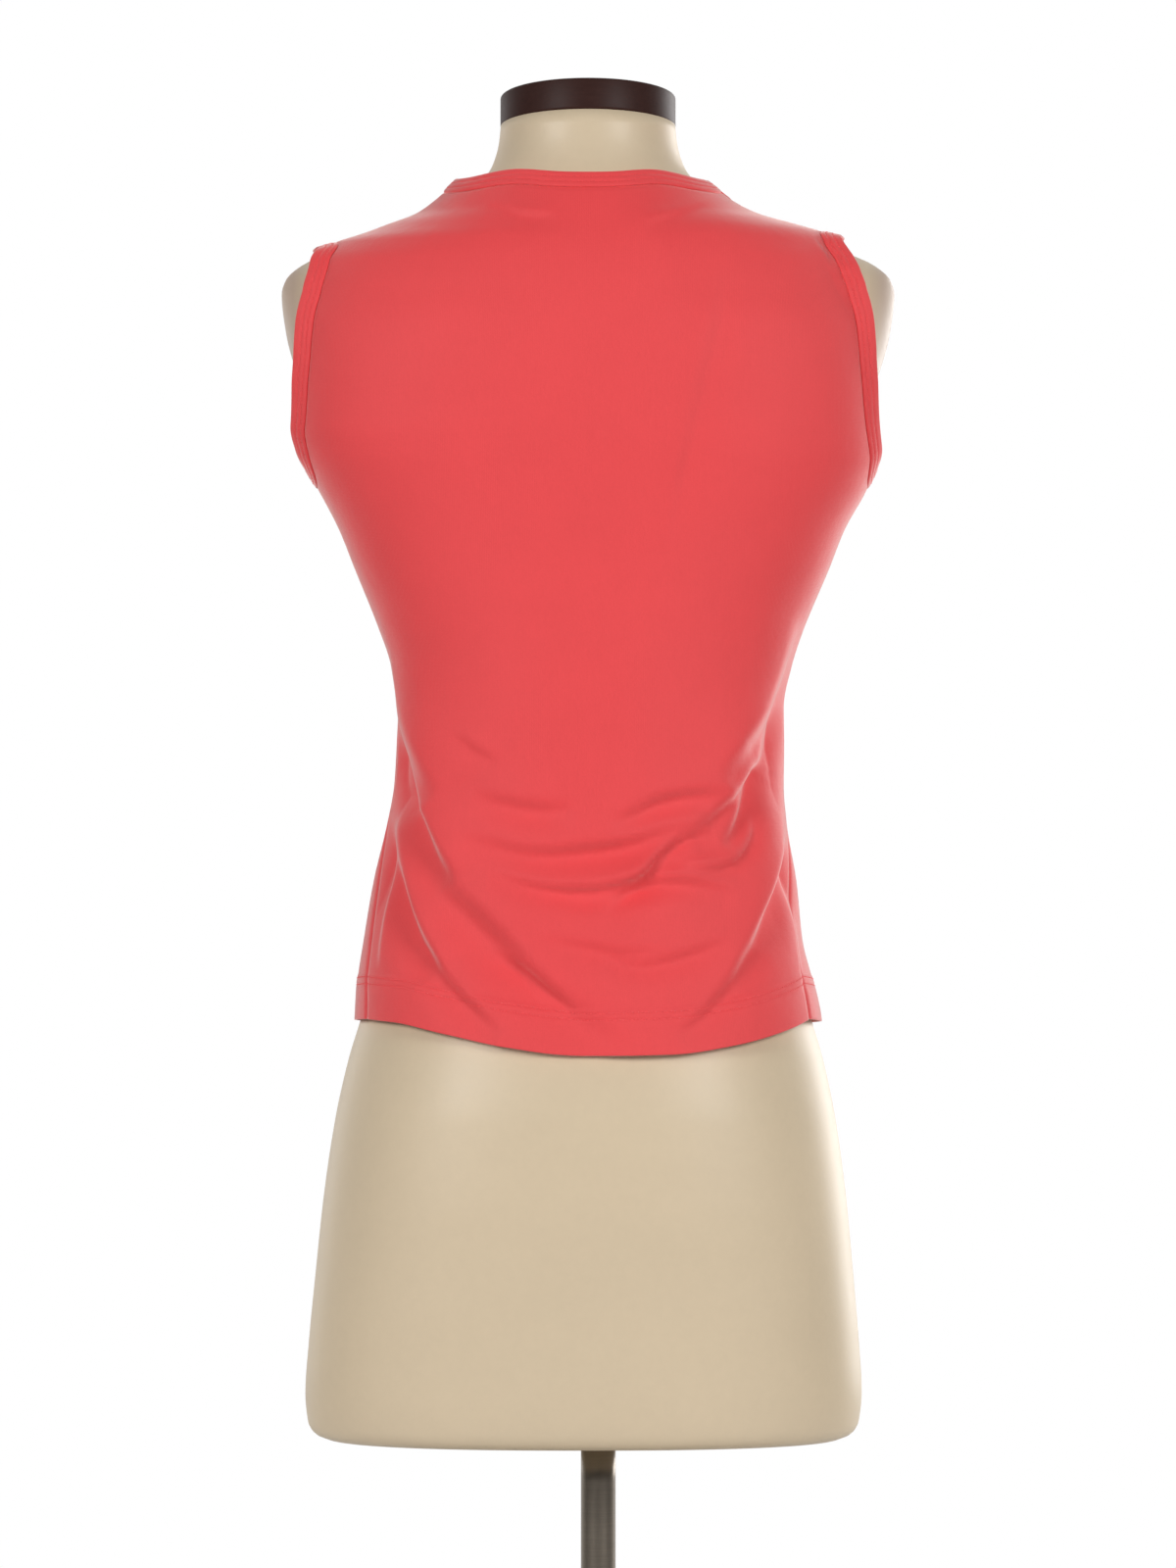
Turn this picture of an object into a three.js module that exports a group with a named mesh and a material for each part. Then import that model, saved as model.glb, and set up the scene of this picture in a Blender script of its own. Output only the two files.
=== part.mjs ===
// A sleeveless jersey tank top on a limbless dress form with a short display stand.
// The cloth is a front and a back panel, joined at the shoulders and sides, with a folded binding round the
// neck and each armhole and a wide turned-up hem. It rests on the shoulders and shoulder blades of the form,
// hangs clear of the hollow of the back, and falls in slack folds above the seat.
//
// Units are millimetres. +Z is up, the wearer faces -Y, so the wearer's left is +X. The origin is on the
// floor under the pole. Heights called h are measured up from the underside of the form.

import * as THREE from "three";
import { mergeVertices } from "three/addons/utils/BufferGeometryUtils.js";

// Stand
const BASE_RADIUS = 203;
const BASE_THICKNESS = 6;
const BASE_CHAMFER = 2;
const POLE_RADIUS = 11;
const STAND_HEIGHT = 310; // floor to the underside of the form
const FORM_OFF_POLE = 6.5; // the form sits this far to the wearer's left of the pole
const FORM_LEAN = 3; // and its underside this much further, below the waist
const WAIST = 450;

// Neck cap
const CAP_RADIUS = 55.5;
const CAP_HEIGHT = 20;
const CAP_BEVEL = 1.6;
const CAP_TILT = THREE.MathUtils.degToRad(7); // it slopes down towards the front
const CAP_SHIFT = -5.5; // the neck leans forwards

// Cloth
const CLOTH = 1.2; // jersey wall
const HEM_DEPTH = 28; // the turned-up hem is a double wall
const HEM_EXTRA = 0.8;
const SEAM_GAP = 0.3;
const NECK_BINDING_WIDTH = 10.5;
const ARMHOLE_BINDING_WIDTH = 12.5;
const BINDING_INSIDE = 0.6; // the binding's faces, measured from the middle of the cloth
const BINDING_OUTSIDE = 1.7;
const ARMHOLE_LEAN = 1.3; // how strongly an armhole's binding turns outwards, at the shoulder
const CLEARANCE = 2; // from the form to the middle of the cloth

// Heights where the pattern changes
const UNDERARM = 600;
const NECK_POINT = 787; // where shoulder seam and neckline meet
const SHOULDER_TIP = { left: 753, right: 760 };
const ARMHOLE_DEPTH = { back: 42, front: 46 }; // how far each half of an armhole is cut in from the side
const SIDE_HEM = 265;
const ARMHOLE_SQUARENESS = 0.58; // 1 is an oval armhole, and below 1 it is squarer
const BACK_NECK = 783.5;
const BACK_NECK_BUMP = { rise: 3, at: 0.36, reach: 0.17 }; // it rises where it turns round the neck
const FRONT_NECK = 702;
const FRONT_NECK_HALF_WIDTH = 84;
const FRONT_NECK_FLARE = 6; // the front neckline is this much wider still at the shoulder
const FRONT_NECK_SQUARENESS = 0.8; // 1 is an oval scoop, and below 1 it is squarer
const SEAM_TURN_TOP = 400; // below this height the side seams drift towards the back
const SEAM_TURN = THREE.MathUtils.degToRad(21);

// The form's level sections: half-width, depth behind and in front of the middle plane, and the corner power
// of the outline (below 1 squarer than an ellipse, above 1 more pointed at the sides).
const FORM_SECTIONS = [
  { h: 0, half: 163, back: 93, front: 85, corner: 0.8 },
  { h: 3, half: 170, back: 97, front: 88.5, corner: 0.8 },
  { h: 10, half: 174, back: 100.5, front: 91, corner: 0.8 },
  { h: 28, half: 175.8, back: 104, front: 93.5, corner: 0.8 },
  { h: 60, half: 173.8, back: 107.5, front: 95.5, corner: 0.81 },
  { h: 102, half: 170, back: 111, front: 97, corner: 0.83 },
  { h: 152, half: 165, back: 114.5, front: 98, corner: 0.85 },
  { h: 201, half: 158, back: 113, front: 97, corner: 0.87 },
  { h: 238, half: 150, back: 107.5, front: 95.5, corner: 0.89 },
  { h: 265, half: 142, back: 102, front: 94, corner: 0.9 },
  { h: 300, half: 132.5, back: 92.5, front: 91, corner: 0.91 },
  { h: 350, half: 121, back: 78.5, front: 87, corner: 0.92 },
  { h: 400, half: 113.5, back: 68.5, front: 83.5, corner: 0.92 },
  { h: 436, half: 111.5, back: 65.5, front: 83.5, corner: 0.92 },
  { h: 474, half: 114, back: 68, front: 88, corner: 0.92 },
  { h: 523, half: 126, back: 75, front: 101, corner: 0.92 },
  { h: 573, half: 143, back: 84, front: 117, corner: 0.93 },
  { h: 600, half: 153, back: 88.5, front: 121.5, corner: 0.95 },
  { h: 630, half: 167, back: 92, front: 118, corner: 1 },
  { h: 660, half: 180, back: 94.5, front: 107, corner: 1.04 },
  { h: 697, half: 191, back: 92.5, front: 90, corner: 1.17 },
  { h: 722, half: 193.8, back: 87, front: 80, corner: 1.4 },
  { h: 731, half: 191, back: 85, front: 76, corner: 1.5 },
  { h: 740, half: 181, back: 82.5, front: 71.5, corner: 1.5 },
  { h: 748, half: 163, back: 80, front: 67.5, corner: 1.47 },
  { h: 755, half: 142, back: 77.5, front: 64, corner: 1.42 },
  { h: 762, half: 123, back: 74.5, front: 61, corner: 1.36 },
  { h: 770, half: 105, back: 71, front: 58, corner: 1.28 },
  { h: 778, half: 89, back: 67, front: 55, corner: 1.2 },
  { h: 786, half: 76, back: 62.5, front: 53.5, corner: 1.1 },
  { h: 794, half: 66.5, back: 58, front: 54, corner: 1.03 },
  { h: 803, half: 60.5, back: 54, front: 56, corner: 1 },
  { h: 817, half: 56.4, back: 50.8, front: 59.5, corner: 1 },
  { h: 827, half: 55.3, back: 50, front: 60.8, corner: 1 },
];

// The garment's level sections before any fold, with its own half-width on each side.
const CLOTH_SECTIONS = [
  { h: 240, left: 147.5, right: 148.5, back: 112, front: 101.5, corner: 0.86 },
  { h: 265, left: 146.3, right: 146.3, back: 108.5, front: 101, corner: 0.87 },
  { h: 288, left: 145, right: 141.4, back: 105, front: 100.5, corner: 0.88 },
  { h: 313, left: 141.4, right: 135.2, back: 101.5, front: 100, corner: 0.89 },
  { h: 350, left: 135.2, right: 131.4, back: 98, front: 100, corner: 0.9 },
  { h: 387, left: 126.5, right: 125.2, back: 95.5, front: 101, corner: 0.91 },
  { h: 412, left: 122.1, right: 123.4, back: 94.5, front: 102.5, corner: 0.92 },
  { h: 437, left: 120.6, right: 123.7, back: 93.5, front: 104.5, corner: 0.92 },
  { h: 461, left: 119.7, right: 123.4, back: 93, front: 107, corner: 0.92 },
  { h: 486, left: 123.4, right: 128.3, back: 92.5, front: 110.5, corner: 0.92 },
  { h: 511, left: 132, right: 136.4, back: 92, front: 115, corner: 0.91 },
  { h: 548, left: 146.9, right: 151.9, back: 92.5, front: 121, corner: 0.89 },
  { h: 573, left: 156.9, right: 161.8, back: 93.5, front: 124.5, corner: 0.87 },
  { h: 600, left: 171, right: 176.5, back: 95, front: 126, corner: 0.85 },
  { h: 620, left: 182, right: 183, back: 96.5, front: 124.5, corner: 0.84 },
  { h: 635, left: 186, right: 182.5, back: 97.2, front: 121, corner: 0.83 },
  { h: 660, left: 186, right: 182, back: 97.5, front: 112, corner: 0.83 },
  { h: 680, left: 185.5, right: 181.5, back: 97, front: 103.5, corner: 0.85 },
  { h: 700, left: 185.6, right: 181.5, back: 95.5, front: 94.5, corner: 0.9 },
  { h: 722, left: 183.5, right: 178.5, back: 92, front: 84.5, corner: 1.02 },
  { h: 740, left: 179, right: 174.5, back: 87.5, front: 77, corner: 1.22 },
  { h: 753, left: 162, right: 163, back: 83, front: 71, corner: 1.31 },
  { h: 760, left: 141, right: 150, back: 80, front: 67.5, corner: 1.31 },
  { h: 765, left: 127.7, right: 133, back: 77.7, front: 65, corner: 1.29 },
  { h: 772, left: 109, right: 107.9, back: 74.5, front: 62, corner: 1.24 },
  { h: 780, left: 97.3, right: 91.8, back: 70.5, front: 59.5, corner: 1.16 },
  { h: 787, left: 89.3, right: 82, back: 66.5, front: 58, corner: 1.1 },
];

// The hem's height round each half, from the wearer's right side seam (-1) to the left (1)
const HEM_LINE = [
  { u: -1, back: 265, front: 265 },
  { u: -0.75, back: 257.5, front: 261 },
  { u: -0.5, back: 250.3, front: 258.5 },
  { u: -0.25, back: 245.3, front: 257.5 },
  { u: 0, back: 244.6, front: 257 },
  { u: 0.25, back: 249.8, front: 257.5 },
  { u: 0.5, back: 257.5, front: 259 },
  { u: 0.75, back: 263.6, front: 262 },
  { u: 1, back: 265, front: 265 },
];

// Folds, each along a smooth line of [x, h] points as seen from behind or in front. height is out from the
// body where positive; above and below are the reach to each side of the line, as it is walked.
const BACK_FOLDS = [
  {
    name: "left waist ridge", height: 8, above: 24, below: 9,
    path: [[121, 452], [110, 425], [96, 390], [84, 366], [60, 345]],
  },
  {
    name: "left waist valley", height: -10, above: 9, below: 10,
    path: [[116, 425], [107, 385], [98, 350], [86, 322]],
  },
  {
    name: "left hip ridge", height: 6, above: 13, below: 9,
    path: [[122, 408], [115, 368], [105, 335], [90, 307], [70, 279]],
  },
  {
    name: "diagonal ridge", height: 7, above: 17, below: 9,
    path: [[78, 358], [50, 335], [25, 313], [-14, 286]],
  },
  {
    name: "diagonal valley", height: -10, above: 9, below: 11,
    path: [[82, 352], [50, 327], [22, 301], [-8, 283]],
  },
  {
    name: "lower diagonal ridge", height: 4, above: 9, below: 12,
    path: [[66, 326], [34, 303], [6, 281], [-16, 273]],
  },
  {
    name: "right waist ridge", height: 8, above: 9, below: 24,
    path: [[-122, 466], [-112, 441], [-96, 418], [-83, 402], [-66, 392]],
  },
  {
    name: "right waist valley", height: -9, above: 10, below: 9,
    path: [[-120, 440], [-108, 412], [-103, 390], [-92, 374]],
  },
  {
    name: "right hip ridge", height: 7, above: 9, below: 15,
    path: [[-121, 402], [-119, 377], [-106, 334], [-98, 317], [-83, 285]],
  },
  {
    name: "right hip valley", height: -6, above: 9, below: 9,
    path: [[-113, 384], [-106, 360], [-99, 346]],
  },
  {
    name: "slack fold one", height: -5, above: 9, below: 9,
    path: [[58, 358], [33, 351], [1, 350], [-24, 356], [-54, 380], [-78, 386]],
  },
  {
    name: "slack ridge one", height: 4, above: 9, below: 9,
    path: [[-14, 346], [-42, 362], [-66, 375]],
  },
  {
    name: "slack fold two", height: -5, above: 9, below: 9,
    path: [[-8, 336], [-28, 348], [-56, 356], [-86, 360]],
  },
  {
    name: "upper slack fold", height: -4, above: 10, below: 9,
    path: [[-14, 394], [-42, 404], [-82, 414]],
  },
  {
    name: "upper slack left", height: -3.5, above: 10, below: 10,
    path: [[74, 382], [36, 376], [-14, 376], [-36, 384]],
  },
  {
    name: "seat fold", height: -3, above: 9, below: 9,
    path: [[-14, 306], [-36, 306], [-56, 312], [-80, 316]],
  },
];
const FRONT_FOLDS = [
  {
    name: "bust drape right", height: 4, above: 16, below: 14,
    path: [[-70, 560], [-78, 470], [-72, 380], [-80, 300]],
  },
  {
    name: "bust drape left", height: 4.5, above: 15, below: 16,
    path: [[62, 570], [74, 480], [80, 390], [70, 290]],
  },
  {
    name: "bust valley right", height: -4, above: 16, below: 14,
    path: [[-36, 500], [-44, 420], [-40, 340], [-46, 280]],
  },
  {
    name: "bust valley left", height: -4, above: 15, below: 15,
    path: [[28, 490], [38, 410], [42, 330], [34, 270]],
  },
  {
    name: "left side drag", height: -4, above: 9, below: 10,
    path: [[134, 560], [112, 540], [88, 536]],
  },
  {
    name: "right side drag", height: -4, above: 10, below: 9,
    path: [[-138, 566], [-114, 544], [-92, 538]],
  },
];

// How many rows and columns each panel has, by stretch of its height
const BACK_COLUMNS = 48;
const FRONT_COLUMNS = 26;
const BODY_ROWS = 23;
const ARMHOLE_ROWS = 12;
const SHOULDER_ROWS = 5;
const ROW_CROWDING = 1.3; // above 1 puts more of the body's rows near the hem
const FORM_SEGMENTS = 36;
const CURVE_STEPS = 12;
const CLEARING_ROUNDS = 6;
const SLOPE_ANGLE = 0.012; // the steps that the cloth's slope is measured over
const SLOPE_RISE = 1.2;
// A fold starts and ends at about a third of its height, and keeps its full height over most of its length:
// the height goes with a power of the sine over this span of a half turn
const FOLD_ENDS = { start: 0.06, span: 0.88, power: 0.7 };
const SIDE_FADE = 4; // how sharply folds die away at the side, where both halves meet
// Beside the shoulder tip the panels' rows climb and draw in, which keeps them out of the armhole
const TIP_RISE = 6;
const TIP_DRAW_IN = 0.1;
const TIP_REACH = 0.3;

const { PI, abs, sin, cos, sign, min, max, hypot, exp } = Math;

// A smooth curve through one column of a table, without overshoot (a monotone cubic).
function column(rows, key, by = "h") {
  const x = rows.map((r) => r[by]);
  const y = rows.map((r) => r[key]);
  const slope = x.slice(1).map((_, i) => (y[i + 1] - y[i]) / (x[i + 1] - x[i]));
  const tangent = x.map((_, i) => {
    if (i === 0) return slope[0];
    if (i === x.length - 1) return slope[i - 1];
    const [a, b] = [slope[i - 1], slope[i]];
    return a * b <= 0 ? 0 : (2 * a * b) / (a + b);
  });
  return (h) => {
    const at = min(max(h, x[0]), x[x.length - 1]);
    let i = 0;
    while (i < x.length - 2 && at > x[i + 1]) i++;
    const width = x[i + 1] - x[i];
    const t = (at - x[i]) / width;
    const [t2, t3] = [t * t, t * t * t];
    return (2 * t3 - 3 * t2 + 1) * y[i] + (t3 - 2 * t2 + t) * width * tangent[i]
      + (3 * t2 - 2 * t3) * y[i + 1] + (t3 - t2) * width * tangent[i + 1];
  };
}

const form = Object.fromEntries(
  ["half", "back", "front", "corner"].map((key) => [key, column(FORM_SECTIONS, key)]));
const cloth = Object.fromEntries(
  ["left", "right", "back", "front", "corner"].map((key) => [key, column(CLOTH_SECTIONS, key)]));

// A point of a level outline. The angle runs from the middle of the back (0) to the wearer's left (a quarter
// turn).
function outline(angle, half, depth, corner) {
  const [s, c] = [sin(angle), cos(angle)];
  return [half * sign(s) * abs(s) ** min(1, corner), depth * sign(c) * abs(c) ** corner];
}

const formShift = (h) => FORM_LEAN * max(0, 1 - h / WAIST);

function formPoint(angle, h) {
  const depth = cos(angle) > 0 ? form.back(h) : form.front(h);
  const [x, y] = outline(angle, form.half(h), depth, form.corner(h));
  return [x + formShift(h), y, h];
}

// Zero on the form's surface and positive outside it.
function formLevel([x, y, h]) {
  const corner = form.corner(h);
  const depth = y > 0 ? form.back(h) : form.front(h);
  const across = (abs(x - formShift(h)) / form.half(h)) ** (2 / min(1, corner));
  return across + (abs(y) / depth) ** (2 / corner) - 1;
}

const NECK_TOP = FORM_SECTIONS[FORM_SECTIONS.length - 1].h;

// Moves a point straight out of the form until it is at least a clearance away.
function keepClear(point, clearance) {
  const step = 0.05;
  let p = [...point];
  for (let round = 0; round < CLEARING_ROUNDS; round++) {
    const level = formLevel(p);
    const slope = [0, 1, 2].map((k) => {
      const [a, b] = [[...p], [...p]];
      a[k] += step;
      b[k] -= step;
      return (formLevel(a) - formLevel(b)) / (2 * step);
    });
    const steep = hypot(...slope) || 1;
    const short = clearance - level / steep;
    if (short > 0 && p[2] < NECK_TOP) p = p.map((value, k) => value + (short * slope[k]) / steep);
  }
  return p;
}

// A fold's line as short straight steps, by a Catmull-Rom spline through its points.
function foldLine(path) {
  const points = path.map(([x, h]) => new THREE.Vector3(x, h, 0));
  const curve = new THREE.CatmullRomCurve3(points, false, "centripetal");
  return curve.getPoints(CURVE_STEPS).map((p) => [p.x, p.y]);
}
const backFolds = BACK_FOLDS.map((f) => ({ ...f, line: foldLine(f.path) }));
const frontFolds = FRONT_FOLDS.map((f) => ({ ...f, line: foldLine(f.path) }));

// How far a fold lifts the cloth at [x, h]: a bell across its line, fading out at both ends.
function foldHeight({ line, height, above, below }, x, h) {
  let best = Infinity;
  let side = 1;
  let along = 0;
  for (let i = 0; i < line.length - 1; i++) {
    const [ax, ah] = line[i];
    const [dx, dh] = [line[i + 1][0] - ax, line[i + 1][1] - ah];
    const t = min(1, max(0, ((x - ax) * dx + (h - ah) * dh) / (dx * dx + dh * dh)));
    const away = hypot(x - ax - t * dx, h - ah - t * dh);
    if (away < best) {
      best = away;
      side = dx * (h - ah) - dh * (x - ax);
      along = (i + t) / (line.length - 1);
    }
  }
  const reach = side > 0 ? above : below;
  const ends = sin(PI * (FOLD_ENDS.start + FOLD_ENDS.span * along)) ** FOLD_ENDS.power;
  return height * ends * exp(-((best / reach) ** 2));
}

// The middle of the cloth at an angle round the body and a height, folds included.
function clothPoint(angle, h) {
  const half = sin(angle) > 0 ? cloth.left(h) : cloth.right(h);
  const behind = cos(angle) > 0;
  const corner = cloth.corner(h);
  const [x, y] = outline(angle, half, behind ? cloth.back(h) : cloth.front(h), corner);
  const lift = (behind ? backFolds : frontFolds).reduce((sum, fold) => sum + foldHeight(fold, x, h), 0);
  const fade = min(1, abs(cos(angle)) * SIDE_FADE);
  const out = new THREE.Vector2(x / half ** 2, y / cloth.back(h) ** 2).normalize();
  return keepClear([x + lift * fade * out.x, y + lift * fade * out.y, h], CLEARANCE);
}

// A place on the cloth with its outward normal and the level direction along the cloth, towards larger
// angles.
function clothFrame(angle, h) {
  const [a, b] = [clothPoint(angle + SLOPE_ANGLE, h), clothPoint(angle - SLOPE_ANGLE, h)];
  const [c, d] = [clothPoint(angle, h + SLOPE_RISE), clothPoint(angle, h - SLOPE_RISE)];
  const across = new THREE.Vector3(...a).sub(new THREE.Vector3(...b)).normalize();
  const up = new THREE.Vector3(...c).sub(new THREE.Vector3(...d));
  return { point: new THREE.Vector3(...clothPoint(angle, h)), normal: up.cross(across).normalize(), across };
}

// The angle of the side seam from the middle of the back: a quarter turn, drifting back below the waist.
function seamAngle(h) {
  const t = min(1, max(0, (SEAM_TURN_TOP - h) / (SEAM_TURN_TOP - SIDE_HEM)));
  return PI / 2 - SEAM_TURN * t * t * (3 - 2 * t);
}

// The two panels in terms of angle and height. u runs from the wearer's right (-1) to the left (1).
// Angles here are measured from the panel's own middle.
const PANELS = {
  back: {
    middle: 0,
    columns: BACK_COLUMNS,
    armholeDepth: ARMHOLE_DEPTH.back,
    seam: seamAngle,
    hem: column(HEM_LINE, "back", "u"),
    neck: (u) => {
      const bump = BACK_NECK_BUMP.rise * exp(-(((abs(u) - BACK_NECK_BUMP.at) / BACK_NECK_BUMP.reach) ** 2));
      return [(u * PI) / 2, BACK_NECK + (NECK_POINT - BACK_NECK) * abs(u) ** 6 + bump];
    },
  },
  front: {
    middle: PI,
    columns: FRONT_COLUMNS,
    armholeDepth: ARMHOLE_DEPTH.front,
    seam: (h) => PI - seamAngle(h),
    hem: column(HEM_LINE, "front", "u"),
    neck: (u) => {
      const turn = (u * PI) / 2;
      const h = NECK_POINT - (NECK_POINT - FRONT_NECK) * max(0, cos(turn)) ** FRONT_NECK_SQUARENESS;
      const half = u > 0 ? cloth.left(h) : cloth.right(h);
      const reach = FRONT_NECK_HALF_WIDTH + FRONT_NECK_FLARE * abs(u);
      const share = min(1, (abs(sin(turn)) * min(half, reach)) / half);
      const atSeam = abs(u) === 1;
      return [atSeam ? turn : sign(u) * Math.asin(share ** (1 / min(1, cloth.corner(h)))), h];
    },
  },
};

// The edge of a panel above the underarm: t from 0 to 1 goes round the armhole, and 1 to 2 along the shoulder
// seam.
function upperEdge(panel, side, t) {
  const tip = side > 0 ? SHOULDER_TIP.left : SHOULDER_TIP.right;
  if (t >= 1) return [PI / 2, tip + (NECK_POINT - tip) * (t - 1)];
  const h = UNDERARM + ((tip - UNDERARM) * (1 - cos(PI * t))) / 2;
  const depth = panel.middle === 0 ? cloth.back(h) : cloth.front(h);
  const cut = (panel.armholeDepth * sin(PI * t) ** ARMHOLE_SQUARENESS) / depth;
  return [Math.acos(cut ** (1 / cloth.corner(h))), h];
}

// Angle and height of a panel's grid point, row counted from the hem.
function gridPoint(panel, u, row) {
  if (row <= BODY_ROWS) {
    const t = (row / BODY_ROWS) ** ROW_CROWDING;
    const h = panel.hem(u) * (1 - t) + UNDERARM * t;
    return [u * panel.seam(h), h];
  }
  const step = row - BODY_ROWS;
  const along = step <= ARMHOLE_ROWS ? step / ARMHOLE_ROWS : 1 + (step - ARMHOLE_ROWS) / SHOULDER_ROWS;
  const [edgeAngle, edgeHeight] = upperEdge(panel, u, along);
  const [neckAngle, neckHeight] = panel.neck(u);
  const neckMiddle = panel.neck(0)[1];
  const softNeck = neckMiddle + (NECK_POINT - neckMiddle) * (3 * u ** 2 - 2 * abs(u) ** 3);
  const follow = max(0, along - 1) ** 2; // rows take on the neckline's shape as they near it
  const climb = (edgeHeight - UNDERARM) / (NECK_POINT - UNDERARM);
  const top = softNeck + (neckHeight - softNeck) * follow;
  const byTip = exp(-(((along - 1) / TIP_REACH) ** 2)) * sin(PI * min(1, 2 * (1 - abs(u))));
  const turn = u * (1 - follow) + (neckAngle / (PI / 2)) * follow - sign(u) * TIP_DRAW_IN * byTip;
  return [turn * edgeAngle, UNDERARM + (top - UNDERARM) * climb + TIP_RISE * byTip];
}

const ROWS = BODY_ROWS + ARMHOLE_ROWS + SHOULDER_ROWS;

// The place of a panel's grid point. The outermost columns stand back from the seam by half its gap.
function panelFrame(panel, u, row) {
  const [turn, h] = gridPoint(panel, u, row);
  const facing = panel.middle === 0 ? 1 : -1;
  const frame = clothFrame(panel.middle + facing * turn, h);
  const pull = abs(u) === 1 ? -sign(u) * facing * (SEAM_GAP / 2) : 0;
  frame.point.addScaledVector(frame.across, pull);
  return { ...frame, aboveHem: h - panel.hem(u) };
}

// A closed wall from a grid of outer points and a grid of inner points.
function wall(outer, inner) {
  const [rows, columns] = [outer.length, outer[0].length];
  const position = [...outer.flat(), ...inner.flat()].flatMap((p) => [p.x, p.y, p.z]);
  const id = (side, row, col) => side * rows * columns + row * columns + col;
  const index = [];
  const quad = (a, b, c, d) => index.push(a, b, c, a, c, d);
  for (let r = 0; r < rows - 1; r++) {
    for (let c = 0; c < columns - 1; c++) {
      quad(id(0, r, c), id(0, r, c + 1), id(0, r + 1, c + 1), id(0, r + 1, c));
      quad(id(1, r, c), id(1, r + 1, c), id(1, r + 1, c + 1), id(1, r, c + 1));
    }
  }
  for (let c = 0; c < columns - 1; c++) {
    quad(id(1, 0, c), id(1, 0, c + 1), id(0, 0, c + 1), id(0, 0, c));
    quad(id(0, rows - 1, c), id(0, rows - 1, c + 1), id(1, rows - 1, c + 1), id(1, rows - 1, c));
  }
  for (let r = 0; r < rows - 1; r++) {
    quad(id(0, r, 0), id(0, r + 1, 0), id(1, r + 1, 0), id(1, r, 0));
    quad(id(1, r, columns - 1), id(1, r + 1, columns - 1), id(0, r + 1, columns - 1), id(0, r, columns - 1));
  }
  return solid(position, index);
}

// Geometry with its faces pointing out, whichever way round they were listed.
function solid(position, index) {
  let volume = 0;
  const corner = (i) => new THREE.Vector3(...position.slice(3 * i, 3 * i + 3));
  for (let i = 0; i < index.length; i += 3) {
    volume += corner(index[i]).dot(corner(index[i + 1]).cross(corner(index[i + 2])));
  }
  if (volume < 0) index.reverse();
  const geometry = new THREE.BufferGeometry();
  geometry.setAttribute("position", new THREE.Float32BufferAttribute(position, 3));
  geometry.setIndex(index);
  geometry.computeVertexNormals();
  return geometry;
}

function panelGeometry(panel) {
  const { columns } = panel;
  const outer = [];
  const inner = [];
  for (let row = 0; row <= ROWS; row++) {
    const [outerRow, innerRow] = [[], []];
    for (let col = 0; col <= columns; col++) {
      const { point, normal, aboveHem } = panelFrame(panel, (2 * col) / columns - 1, row);
      const doubled = aboveHem < HEM_DEPTH ? HEM_EXTRA : 0;
      outerRow.push(point.clone().addScaledVector(normal, CLOTH / 2 + doubled));
      innerRow.push(point.clone().addScaledVector(normal, -CLOTH / 2));
    }
    outer.push(outerRow);
    inner.push(innerRow);
  }
  return wall(outer, inner);
}

// Points and normals along part of a panel's edge: an armhole side, or the neckline.
const edgeOf = (panel, places) => places.map(([u, row]) => panelFrame(panel, u, row));
const range = (from, to) => Array.from({ length: abs(to - from) + 1 }, (_, i) => from + sign(to - from) * i);

function armholeLoop(side) {
  const { back, front } = PANELS;
  const up = range(BODY_ROWS, BODY_ROWS + ARMHOLE_ROWS).map((row) => [side, row]);
  const down = range(BODY_ROWS + ARMHOLE_ROWS, BODY_ROWS).map((row) => [side, row]);
  return [...edgeOf(back, up), ...edgeOf(front, down)];
}

function neckLoop() {
  const { back, front } = PANELS;
  const acrossBack = range(0, BACK_COLUMNS).map((col) => [(2 * col) / BACK_COLUMNS - 1, ROWS]);
  const acrossFront = range(FRONT_COLUMNS, 0).map((col) => [(2 * col) / FRONT_COLUMNS - 1, ROWS]);
  return [...edgeOf(back, acrossBack), ...edgeOf(front, acrossFront)];
}

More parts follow.
